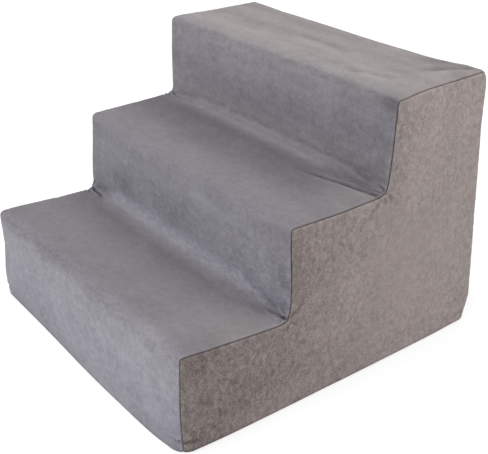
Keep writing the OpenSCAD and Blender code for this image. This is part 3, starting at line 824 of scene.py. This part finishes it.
# Soft ovals of painted light and shade, partly of nap that lies another way
step_painted_light_and_nap_patches = [  # across, how far, along the panel, how far, and how much lighter it is there
    (-105, 45, 290, 14, -0.09), (-105, 60, 70, 25, -0.04), (150, 40, 134, 12, 0.16),
    (200, 30, 122, 10, 0.12), (200, 25, 60, 50, -0.05), (190, 50, 475, 10, -0.1),
    (190, 60, 253, 12, -0.08), (195, 18, 246, 8, 0.16), (150, 20, 160, 10, 0.07),
    (195, 20, 312, 18, -0.09), (180, 60, 504, 12, -0.14), (185, 55, 555, 25, -0.11),
    (195, 18, 588, 12, -0.16), (150, 24, 712, 24, -0.17), (180, 12, 672, 18, 0.08),
    (110, 60, 300, 22, 0.07), (-30, 45, 286, 12, 0.05), (-150, 35, 278, 9, 0.05),
    (-150, 45, 575, 14, 0.06), (150, 30, 425, 12, -0.05), (60, 60, 618, 12, 0.03),
    (-160, 40, 270, 11, -0.07), (140, 28, 488, 12, -0.07), (180, 25, 485, 12, -0.05),
    (180, 25, 272, 14, -0.1), (190, 20, 90, 40, -0.04), (-90, 60, 124, 8, -0.04),
    (190, 14, 585, 8, -0.1), (118, 22, 256, 10, -0.09), (50, 45, 336, 9, 0.1),
    (168, 10, 121, 7, 0.1), (186, 12, 250, 8, 0.1), (184, 12, 466, 7, 0.1),
    (180, 20, 605, 22, -0.06), (148, 22, 700, 8, -0.09), (-176, 12, 650, 10, -0.11),
    (190, 12, 30, 12, -0.1), (190, 8, 515, 12, -0.09),
]
riser_tone, tread_tone = np.interp([70, 215], *zip(*nap_and_painted_light_along))
print("lightness of the riser:", riser_tone, "and of the tread:", round(tread_tone, 3))


# %% Look of the step panel
def patched(tone, a, b, patches):
    """Lightens a tone in soft ovals, each about a place, with its two half widths."""
    for at, wide, middle, high, change in patches:
        tone = tone + change * gauss((a - at) / wide) * gauss((b - middle) / high)
    return tone


def step_look(points, facing, length, from_side, shade):
    """Lightness with its painted light and shade, nap and warmth of the step panel; s is how far
    along the strip a point is.
    """
    x, y = points[..., 0], points[..., 1]
    s = length[:, None] + 0 * x
    waver = np.array([noise.noise(Vector((place / 42, 3.0, 0))) for place in x[0]])
    s = s + 2.4 * waver[None, :] * gauss((s - 590) / 30)
    streaks = ripples(np.stack([x / 7, s, 0 * x], -1), 19, 31) * smooth((s - 600) / 20)
    away = smooth(from_side / seam_run)
    to_right = smooth((x - 110) / 70)
    tone = np.interp(s, *zip(*nap_and_painted_light_along)) + shade + seam_painted_light(from_side, facing, points)
    # Painted highlight on the bends at the foot of the second and third riser, and painted shade on
    # the tread in front of each
    tone += away * (0.15 * gauss((s - 266) / 12) - 0.05 * gauss((s - 236) / 10))
    fading = 1 - 0.8 * smooth((x - 60) / 80)
    tone += away * (0.18 * gauss((s - 481) / 6.5) - 0.05 * gauss((s - 462) / 12)) * fading
    # The right-hand ends of the two lower treads, the upper one in front of its fold
    tone += 0.12 * to_right * smooth((s - 175) / 30) * smooth((248 - s) / 14)
    second_tread = smooth((s - 400) / 30) * smooth((486 - s) / 10)
    before_fold = smooth((28 + (x - 112) * 0.29 - y) / 8)
    tone += 0.17 * second_tread * to_right * before_fold
    tone += 0.04 * smooth((x + 20) / 60) * smooth((118 - s) / 20) + 0.1 * streaks
    tone = patched(tone, x, s, step_painted_light_and_nap_patches)
    # Painted shade: the hem at the floor, the groove of the seam to the back and the roll into the
    # left-hand seam are darker
    tone -= 0.3 * gauss((s - 18.5) / 2.0) + 0.2 * gauss((s - 728) / 4)
    tone -= 0.2 * (x < 0) * gauss(from_side / 2.2)
    nap = np.interp(s, *zip(*brushed_up)) + 0.35 * gauss((s - 300) / 35) * smooth((x - 80) / 60)
    first_tread = smooth((s - 150) / 20) * smooth((250 - s) / 10)
    warmth = np.interp(s, *zip(*warm)) + 0.2 * to_right * (first_tread + second_tread)
    return tone, nap, warmth


print(len(step_painted_light_and_nap_patches), "patches on the steps")

# %% [markdown]
# ## Sewing the step panel
#
# The settled grid, the grooves of its seams and its folds are added up, and the panel is
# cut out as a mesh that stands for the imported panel.

# %% Step panel
along_strip = path_length[:, None]
free = smooth((along_strip - 18) / 20) * (1 - 0.7 * smooth((along_strip - 690) / 25))
step_settled = settle("step panel", step_grid, step_facing, xs, path_length, free)
# The folds come with painted shade in their valleys and painted highlights on their lips
fold_out, painted_fold_shade = folded(step_cut, step_folds)
step_out = flat_below(fold_out - seam_dip(from_seam - seam_gap, step_grid), step_facing)
cover_step = cloth_mesh("cover_step", step_settled + step_facing * step_out[..., None],
                        step_facing, step_cut,
                        step_look(step_grid, step_facing, path_length, from_seam, painted_fold_shade),
                        suede_step)
stands_for(cover_step, "cover_step_panel")

# %% [markdown]
# ## Side panels
#
# Each side is one piece of suede cut to the outline of the stairs, with a hem that folds
# under the base. It is made as a grid of rows and columns that pass through every corner
# of the outline, and the cells above the steps are left out.

# %% Side panels: their grid
side_edge = [seam_gap + 0.6, seam_gap + 1.4, 2.8, 4.0, 5.6, 8.0]


def near_stops(*stops):
    """Places close beside every stop, where an edge of the panel may lie."""
    extra = [s + way * d for s in stops for d in side_edge for way in (-1, 1)]
    return [e for e in extra if 0 < e < stops[-1]]


def with_hem(heights):
    """Heights of a panel's rows and how far each is turned under, the rows of the hem first."""
    return np.append(0 * side_hem, heights)[:, None], np.append(side_hem, 0 * heights)[:, None]


side_ys = run(0.0, riser_2, riser_3, depth, step=3.2,
              fine=near_stops(0, riser_2, riser_3, depth))
side_zs = run(0.0, level_1, level_2, level_3, step=3.2,
              fine=near_foot + near_stops(level_1, level_2, level_3))
side_hem = run(soft_r, 0.0, step=3.0, fine=near_foot)[:-1]
print("side grid:", len(side_hem) + len(side_zs), "rows,", len(side_ys), "columns")


# %% Side panels: folds and patches
def side_folds():
    """Folds under the inner corners, and at the foot where hem and seam meet."""
    (y1, z1), (y2, z2) = (soft_place(half_w, *corner)[0][1:] for corner in inner_corners)
    front, back = (soft_place(half_w, y, 14.0)[0][1] for y in (0.0, depth))
    return [([(y2 + 3, z2 - 3), (y2 + 9, z2 - 12)], 0.8, 1.9),
            ([(y2 - 2, z2 - 4), (y2 - 3, z2 - 16)], 0.7, 1.9),
            ([(y2 - 7, z2 - 5), (y2 - 46, z2 - 38)], 0.6, 2.2),
            ([(y1 + 3, z1 + 2), (y1 + 46, z1 + 38)], 0.6, 2.2),
            ([(y1 + 3, z1 - 2), (y1 + 12, z1 - 12)], 0.7, 1.5),
            ([(y1 - 1, z1 - 4), (y1 - 2, z1 - 14)], 0.6, 1.4),
            ([(front + 2, 13.5), (front + 14, 12.5), (front + 30, 5)], 1.7, 2.1),
            ([(back - 5, 13.5), (back - 11, 12), (back - 24, 9)], 0.6, 2.0)]


# Soft ovals of painted light and shade, darker mostly beside the upright seams
side_painted_light_patches = [  # a place on the side, y and z with how far, and how much lighter it is there
    (66, 16, 250, 75, -0.14), (-64, 20, 150, 50, -0.1), (-186, 26, 98, 14, -0.13),
    (-20, 32, 68, 18, 0.09), (-60, 35, 20, 16, 0.1), (-120, 40, 8, 14, 0.1),
    (12, 18, 108, 32, 0.06), (190, 10, 8, 8, -0.08), (100, 20, 8, 8, 0.06),
]
print("folds of a side panel:", len(side_folds()))


# %% Side panels
def side_proud(y, z):
    """Share of the puff: none at the seams, most in the middle, a little less at the floor."""
    return smooth(outline_place(y, z, 0)[4] / puff_run) * (0.6 + 0.4 * smooth(z / 60))


def side_panel(side, name, node_name):
    """One side: the rows of its hem, turned under by h, then the rows up to the top."""
    y, z, h = np.broadcast_arrays(side_ys, *with_hem(side_zs))
    grid, facing = soft_place(side * half_w, y, z, side_proud(y, z), seam_gap, h)
    keep = np.ones((len(grid) - 1, len(side_ys) - 1), bool)
    keep[len(side_hem):] = side_zs[1:, None] <= tread_level(side_ys[:-1]) + tiny
    dist, at_y, at_z = nearest_edge(y, z, np.hypot)[2], grid[..., 1], grid[..., 2]
    fold_out, painted_fold_shade = folded(grid[..., 1:], side_folds())
    waves = 0.45 * ripples(grid, 75, 4 + side) * smooth(dist / 30)
    out = flat_below(fold_out + waves - seam_dip(dist, grid), facing)
    # Painted light and shade: lighter towards the back and the top, a painted highlight on the roll
    # beside the seam, painted shade in the seam's groove and a painted shadow along the foot
    tone = 0.305 + 0.305 * smooth((at_y + 160) / 290) + painted_fold_shade
    tone += 0.03 * smooth((at_z - 150) / 120) + 0.05 * gauss((dist - 3.0) / 1.8)
    tone -= 0.08 * gauss(dist / 1.1) + 0.3 * gauss((z - h - 0.5) / 2.0)
    tone = patched(tone, at_y, at_z, side_painted_light_patches)
    nap = 1.0 - 0.45 * gauss((at_y - 95) / 80) * gauss((at_z - 120) / 80)
    left_cut = 900.0 * (side < 0)  # the left panel comes from another place of the cloth
    piece = cloth_mesh(name, grid + facing * out[..., None], facing,
                       np.stack([y + left_cut, z - h], -1), (tone, nap, 1.0), suede_side,
                       keep=keep, flip=side < 0)
    stands_for(piece, node_name)


side_panel(1, "cover_side_right", "cover_side_panel_right")
side_panel(-1, "cover_side_left", "cover_side_panel_left")

# %% [markdown]
# ## Back
#
# The back panel hangs from a seam just below the top edge. It ends at the zipper, and a
# narrow strip goes on below the zipper and folds under the base. Both edges of the slot
# are folded over and topstitched, and the slot closes beside the side seams, where the
# zipper's tapes are sewn in.

# %% The slot in the back
back_top = level_3 - soft_r - seam_gap
slot_fine = [15.0, 16.0, 16.7, 17.3, 18.0, 18.7, 19.3, 20.0]
back_xs = -across_lines(3.5, edge_fine + slot_fine)
back_side = half_w - np.abs(back_xs)
middle_x = len(back_xs) // 2
slot_half = seam_gap / 2 + (slot_half_open - seam_gap / 2) * smooth((back_side - 16.0) / 4.0)
fallen = 1 - tread_fall / level_1  # soft_place brings low places down to this share
slot_top, slot_bottom = (zip_height + slot_half) / fallen, (zip_height - slot_half) / fallen


def slot_roll(from_slot):
    """How far the folded edge beside the open slot rolls in."""
    return 0.5 * gauss(from_slot) * (back_side > 17)


print("the slot is open over", np.ptp(back_xs[slot_half > 0.99 * slot_half_open]).round(), "mm")

# %% Back panel
rise = run(0.0, 1.0, step=3.0 / 240, fine=[0.003, 0.006, 0.0095, 0.99, 0.994, 0.997])[:, None]
back_z = slot_top + (back_top - slot_top) * rise
back_grid, back_facing = soft_place(back_xs, depth, back_z,
                                    np.sin(math.pi * rise) ** 0.7 * smooth(back_side / seam_run))
back_out = (-seam_dip(back_side - seam_gap, back_grid) - seam_dip(back_top - back_z, back_grid)
            - slot_roll(back_z - slot_top))
back_settled = settle("back panel", back_grid, back_facing, -back_xs, back_z[:, middle_x])
back_points = back_settled + back_facing * back_out[..., None]
back_cut = np.stack(np.broadcast_arrays(back_xs + 2000, back_z), -1)
cover_back = cloth_mesh("cover_back", back_points, back_facing, back_cut,
                        (0.5 + 0 * back_z, 0.8, 1.0), suede_back)
stands_for(cover_back, "cover_back_panel")

# %% Hem strip below the zipper
strip_share = run(0.0, 1.0, step=3.0 / 44, fine=[0.01, 0.02, 0.032, 0.045, 0.95, 0.975, 0.988])
strip_up, strip_under = with_hem(strip_share)
strip_up = strip_up * slot_bottom
strip_z = strip_up - strip_under
strip_grid, strip_facing = soft_place(back_xs, depth, strip_up, under=strip_under)
strip_out = -seam_dip(back_side - seam_gap, strip_grid) - slot_roll(strip_z[-1] - strip_z)
strip_points = strip_grid + strip_facing * strip_out[..., None]
strip_cut = np.stack(np.broadcast_arrays(back_xs + 3000, strip_z), -1)
cover_strip = cloth_mesh("cover_hem_strip", strip_points, strip_facing, strip_cut,
                         (0.47 + 0 * strip_z, 0.8, 1.0), suede_back)
stands_for(cover_strip, "cover_back_hem_strip")

# %% [markdown]
# ## Base
#
# Under the stairs lies a thin black cloth with rubber dots pressed into it. The cloth is
# woven, so its finish crosses two sets of threads. Each dot is a low dome.

# %% Base cloth
base_finish, tree = new_finish("base cloth", Roughness=0.85, Sheen_Weight=0.1,
                               Specular_IOR_Level=0.2)
where = object_place(tree)
warp, weft = (node(tree, "TexWave", Vector=where, Scale=260, Distortion=0.6, Detail=1.0,
                   set_bands_direction=way) for way in "XY")
weave = maths(tree, "MULTIPLY", warp, weft)
share = blended(tree, (weave, 0.5), (cloud(tree, where, 40, 4, 0.6), 0.6))
surface(tree, between_colours(tree, share, (24, 24, 27), (62, 61, 66)), weave, 0.6, 0.0003)

base_w, base_l = 2 * (half_w - soft_r - seam_gap), depth - 2 * (soft_r + seam_gap)
base_mid_y = depth / 2 - centre_y
base_y, base_x = np.meshgrid(run(base_l / 2, -base_l / 2, step=6.0),
                             run(-base_w / 2, base_w / 2, step=6.0), indexing="ij")
edge_in = np.minimum(base_w / 2 - np.abs(base_x), base_l / 2 - np.abs(base_y))
bumps = ripples(np.stack([base_x, base_y, 0 * base_x], -1), 55, 3)
base_z = 0.4 + 0.25 * (bumps + 0.6) * smooth(edge_in / 20)
base_points = handmade(np.stack([base_x, base_y + base_mid_y, base_z], -1))
downward = np.zeros_like(base_points) + (0, 0, -1)
base_piece = cloth_mesh("base_cloth", base_points, downward, base_points[..., :2],
                        (0 * base_z, 0, 0), base_finish, thick=0.9)
stands_for(base_piece, "cover_base_panel")

# %% Grip dots
rubber, tree = new_finish("rubber dots", Roughness=0.55, Specular_IOR_Level=0.4)
dust = cloud(tree, object_place(tree), 700, 3, 0.6)
surface(tree, between_colours(tree, dust, (30, 30, 32), (66, 65, 68)), dust, 0.3, 0.0002)


def ring_faces(rings, sides, first=0):
    """Faces between rings of points that follow one another."""
    return [(a + j, a + n, a + sides + n, a + sides + j)
            for a in range(first, first + (rings - 1) * sides, sides)
            for j, n in zip(range(sides), [*range(1, sides), 0])]


def dome(x, y, radius=3.0, high=0.4, rings=4, sides=24):
    """A low dome that hangs from z = high to the floor, with a flat top inside the cloth."""
    points = [(x, y, 0.0)]
    for k in range(1, rings + 1):
        a = k / rings * math.pi / 2
        points += [(x + radius * math.sin(a) * math.cos(t), y + radius * math.sin(a) * math.sin(t),
                    high * (1 - math.cos(a)))
                   for t in np.linspace(0, 2 * math.pi, sides, endpoint=False)]
    tip = [(0, 1 + (j + 1) % sides, 1 + j) for j in range(sides)]
    top = tuple(range(1 + (rings - 1) * sides, 1 + rings * sides))
    return points, tip + ring_faces(rings, sides, 1) + [top]


def together(shapes):
    """Points and faces of many small shapes as those of one."""
    points, faces = [], []
    for more, sides in shapes:
        faces += [tuple(v + len(points) for v in face) for face in sides]
        points += [tuple(p) for p in more]
    return points, faces


spots = [30.0 * k for k in range(-5, 6)]
grip_dots = new_piece("grip_dots", *together(dome(x, y + base_mid_y) for x in spots for y in spots),
                      rubber, 40)
stands_for(grip_dots, "base_grip_dots")
print("dots:", len(spots) ** 2)

# %% [markdown]
# ## Foam
#
# Nothing of the foam shows while the cover is closed, but it is what gives the cloth its
# shape, so each slab is made properly: a block of pale open-cell foam with rounded edges,
# leaned as the cover is. Glue joins the slabs in two thin webs, which keep their packed
# shape and only get a finish.


# %% Foam slabs
foam_finish, tree = new_finish("open-cell foam", Roughness=0.95, Subsurface_Weight=0.05,
                               Specular_IOR_Level=0.1)
where = object_place(tree)
cells = node(tree, "TexVoronoi", Vector=where, Scale=900)
share = blended(tree, (cells, 0.6), (cloud(tree, where, 25, 3, 0.6), 0.5))
surface(tree, between_colours(tree, share, (212, 203, 176), (246, 241, 226)), cells, 0.5, 0.0006)
foam_in = 2.4  # from the sharp stairs in to the foam


def foam_slab(name, node_name, y_front, z_low, z_top, radius=15.0):
    """A rounded block between the cover's faces, on the sharp stairs, then leaned as it is."""
    low = np.array([foam_in - half_w, y_front + foam_in, z_low])
    high = np.array([half_w - foam_in, depth - foam_in, z_top])
    block = bmesh.new()
    bmesh.ops.create_cube(block, size=2)
    bmesh.ops.subdivide_edges(block, edges=block.edges, cuts=31, use_grid_fill=True)
    at = np.array([v.co for v in block.verts])
    faces = [[v.index for v in f.verts] for f in block.faces]
    block.free()
    half = (high - low) / 2
    edge_r = np.minimum(radius, half * 0.98)
    warped = np.sign(at) * np.abs(at) ** 0.8 * half
    core = np.clip(warped, edge_r - half, half - edge_r)
    out = (warped - core) / edge_r
    out = out * np.minimum(1, 1 / np.maximum(np.linalg.norm(out, axis=1, keepdims=True), 1e-9))
    at = core + out * edge_r + (low + high) / 2
    at[:, 0] -= np.sign(at[:, 0]) * 0.3 * ripples(at, 30, 5)
    dy, dz = shifted(at[:, 1], at[:, 2])
    at[:, 1] += dy
    if y_front == 0:  # only the lowest slab falls with its tread and has the zipper's groove
        at[:, 2] += dz
        at[:, 1] -= 5.5 * gauss((at[:, 2] - zip_height) / 15) * smooth((at[:, 1] - 170) / 12)
    at = handmade(at)
    piece = new_piece(name, at, faces, foam_finish)
    stands_for(piece, node_name)
    print(name, "from", at.min(0).round(1), "to", at.max(0).round(1))


slab_tops = [level - tread_fall for level in (level_1, level_2, level_3)]
foam_slab("foam_slab_base", "foam_base_slab", 0.0, 2.0, level_1 - 2.2)
foam_slab("foam_slab_middle", "foam_middle_slab", riser_2, slab_tops[0] - 1.55, slab_tops[1] - 2.2)
foam_slab("foam_slab_top", "foam_top_slab", riser_3, slab_tops[1] - 1.55, slab_tops[2] - 2.6)


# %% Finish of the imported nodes
def refinish(node_name, finish):
    """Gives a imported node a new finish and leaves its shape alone."""
    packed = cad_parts[node_name]
    packed.data.materials.clear()
    packed.data.materials.append(finish)
    return packed


glue_finish, tree = new_finish("dried glue", Roughness=0.35, Coat_Weight=0.2, IOR=1.45)
share = cloud(tree, object_place(tree), 60, 4, 0.6, 1.0)
surface(tree, between_colours(tree, share, (196, 178, 128), (232, 221, 184)), share, 0.4, 0.0004)
for name in ("glue_web_lower", "glue_web_upper"):
    print(refinish(name, glue_finish).name, "has dried glue")

# %% [markdown]
# ## Zipper
#
# The zipper lies behind the slot in the back. Its teeth are two coils of nylon wire, each
# sewn to a woven tape, and they mesh because one coil stands half a turn beside the other.
# A helix in mesh code gives the real coil, which a row of boxes can't.


# %% Tapes
tape_finish, tree = new_finish("zipper tape", Roughness=0.8, Sheen_Weight=0.15,
                               Specular_IOR_Level=0.25)
where = object_place(tree)
slanted = node(tree, "Mapping", Vector=where, Rotation=(0, math.radians(35), 0))
one = node(tree, "TexWave", Vector=slanted, Scale=420, Distortion=0.4, set_bands_direction="X")
two = node(tree, "TexWave", Vector=where, Scale=546, Distortion=0.4, set_bands_direction="Z")
weave = maths(tree, "MULTIPLY", one, two)
share = blended(tree, (weave, 0.7), (cloud(tree, where, 60, 3), 0.4))
surface(tree, between_colours(tree, share, (66, 64, 67), (118, 115, 119)), weave, 0.6, 0.0002)

tape_half_l, tape_t, row_half, tape_w = 183.0, 0.5, 2.6, 10.0
tape_ends = 175.0  # beyond this the inner edges of the tapes run together


def zipper_tape(name, node_name, side):
    fine = [x * way for x in (tape_ends, 176, 177, 178) for way in (-1, 1)]
    xs_tape = run(tape_half_l, -tape_half_l, step=3.0, fine=fine)
    across = run(0.0, tape_w, step=1.0)[::side, None]
    inner = row_half * (1 - 0.96 * smooth((np.abs(xs_tape) - tape_ends) / 2.5))
    z = zip_height + side * (inner + across * (tape_w + row_half - inner) / tape_w)
    y = zip_y + tape_t / 2 - 0.08 + 0.06 * np.cos(2 * math.pi * across / 3.3)
    tape = np.stack(np.broadcast_arrays(xs_tape, y, z), -1)
    piece = cloth_mesh(name, tape, np.zeros_like(tape) + (0, 1, 0), tape[..., [0, 2]],
                       (0 * z, 0, 0), tape_finish, thick=tape_t - 0.16)
    stands_for(piece, node_name)


zipper_tape("tape_upper", "zipper_tape_upper", 1)
zipper_tape("tape_lower", "zipper_tape_lower", -1)


# %% Round wire
def tube(line, radius, sides=5):
    """Points and faces of a round wire with closed ends along a line of points."""
    line = np.asarray(line, float)
    way = np.gradient(line, axis=0)
    way /= np.linalg.norm(way, axis=1, keepdims=True)
    up = np.zeros_like(way)
    last = np.cross(way[0], (0.31, 0.95, 0.05))
    for k, direction in enumerate(way):
        last = last - direction * (last @ direction)
        up[k] = last = last / np.linalg.norm(last)
    turn = np.linspace(0, 2 * math.pi, sides, endpoint=False)[None, :, None]
    ring = line[:, None] + radius * (np.cos(turn) * up[:, None]
                                     + np.sin(turn) * np.cross(way, up)[:, None])
    ends = [tuple(range(sides))[::-1], tuple(range((len(line) - 1) * sides, len(line) * sides))]
    return ring.reshape(-1, 3), ring_faces(len(line), sides) + ends


print("a wire of 3 points has", len(tube([(0, 0, 0), (1, 0, 0), (2, 0, 0)], 1.0)[1]), "faces")

# %% Coils
nylon, tree = new_finish("nylon coil", Roughness=0.38, Specular_IOR_Level=0.5)
tint = cloud(tree, object_place(tree), 300, 2)
surface(tree, between_colours(tree, tint, (74, 72, 75), (112, 110, 114)), tint, 0.15, 0.0001)
coil_start, coil_end, pitch, wire = -173.95, 171.1, 2.0, 0.42


def coil(name, node_name, side, offset):
    """One coil; its turns are a little square, as the wire is bent round the tape's cord."""
    centre, reach_z, reach_y = row_half / 2 - 0.3, row_half / 2 + 0.3 - wire, 1.1 - wire
    turns = int((coil_end - coil_start - offset) / pitch)
    t = np.arange(turns * 14 + 1) / 14.0
    cos, sin = (np.sign(part) * np.abs(part) ** 0.8
                for part in (np.cos(2 * math.pi * t), np.sin(2 * math.pi * t)))
    line = np.stack([coil_start + offset + t * pitch + wire, zip_y + reach_y * sin,
                     zip_height + side * (centre + reach_z * cos)], 1)
    points, faces = tube(line, wire)
    stands_for(new_piece(name, points, faces, nylon), node_name)
    packed = [[round(v / MM, 2) for v in corner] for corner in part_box(node_name)]
    print(name, turns, "turns", points.min(0).round(2), points.max(0).round(2), "CAD", packed)


coil("coil_upper", "zipper_teeth_upper", 1, 0.0)
coil("coil_lower", "zipper_teeth_lower", -1, pitch / 2)

# %% [markdown]
# ## Stitches
#
# Short threads cross the grooves of the side seams, low down where two panels meet. Two
# rows of topstitching hold the folded edges of the slot.

# %% Stitches of the side seams
thread, tree = new_finish("sewing thread", Roughness=0.6, Specular_IOR_Level=0.3)
where = object_place(tree)
twist = node(tree, "TexWave", Vector=where, Scale=900, set_bands_direction="DIAGONAL")
surface(tree, between_colours(tree, cloud(tree, where, 500, 2), (108, 102, 104), (156, 150, 152)),
        twist, 0.4, 0.0001)
rung_edge, rung_sunk, rung_step = 0.9, 0.3, 4.6


def sewn(name, lines, radius):
    """Stitches of one kind as one piece; each is a short line of points."""
    piece = new_piece(name, *together(tube(line, radius) for line in lines), thread)
    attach(piece, "root")
    print(name, "has", len(lines), "stitches")


def rungs(side, y, z):
    """Threads across the side seam at places y, z of the outline."""
    ends, ways = [], []
    for x, trim in ((half_w - rung_edge, 0.0), (half_w, rung_edge)):
        place, way = soft_place(side * x, y, z, trim=trim)
        down = seam_dip(rung_edge - seam_gap, place) + rung_sunk
        ends.append(place - way * down[..., None])
        ways.append(way)
    middle = sum(ends) / 2 + sum(ways) * rung_sunk / 2
    return [*np.stack([ends[0], middle, ends[1]], 1)]


marks = np.arange(26.0, path_length[-1] - 20, rung_step)
seam_y, seam_z = (np.interp(marks, path_length, path[:, k]) for k in (0, 1))
up_back = np.arange(60.0, back_top - 3, rung_step)
sewn("seam_stitches", [line for side in (-1, 1)
                       for y, z in ((seam_y, seam_z), (depth + 0 * up_back, up_back))
                       for line in rungs(side, y, z)], 0.28)


# %% Topstitching beside the slot
def topstitches(points, facing, heights, half_run=177.0, long=2.6, step=3.7):
    """Stitches along the row of a back panel's grid that lies 3 mm from the slot."""
    row = int(np.abs(np.abs(heights[:, middle_x] - zip_height / fallen)
                     - slot_half_open / fallen - 3.0).argmin())
    lines = []
    for x in np.arange(-half_run, half_run, step):
        spots = -(x + long * np.array([0, 0.16, 0.84, 1]))
        place, way = (np.stack([np.interp(spots, -back_xs, part[row, :, k]) for k in range(3)], 1)
                      for part in (points, facing))
        lines.append(place + way * np.array([-0.25, 0.3, 0.3, -0.25])[:, None])
    return lines


sewn("slot_topstitching", topstitches(back_points, back_facing, back_z)
     + topstitches(strip_points, strip_facing, strip_z), 0.25)

# %% Slider, pull tab and stops
metal, tree = new_finish("nickel plate", Metallic=1.0, Roughness=0.3)
where = object_place(tree)
brush = cloud(tree, node(tree, "Mapping", Vector=where, Scale=(60, 900, 900)), 1.0, 4, 0.7)
wear = cloud(tree, where, 260, 3)
surface(tree, between_colours(tree, wear, (150, 150, 152), (206, 206, 208)), brush, 0.12, 0.0001)
tree.links.new(node(tree, "MapRange", Value=brush, i3=0.24, i4=0.42),
               tree.nodes["Principled BSDF"].inputs["Roughness"])
for name, width in (("zipper_slider", 0.22), ("zipper_pull_tab", 0.3),
                    ("zipper_top_stops", 0.15), ("zipper_bottom_stop", 0.15)):
    part = refinish(name, metal)
    part.modifiers.new("weld", "WELD").merge_threshold = 0.00001
    soften = part.modifiers.new("edges", "BEVEL")
    soften.width, soften.segments = width * MM, 2
    soften.limit_method, soften.angle_limit = "ANGLE", math.radians(30)
    print(name, "softened by", width, "mm")
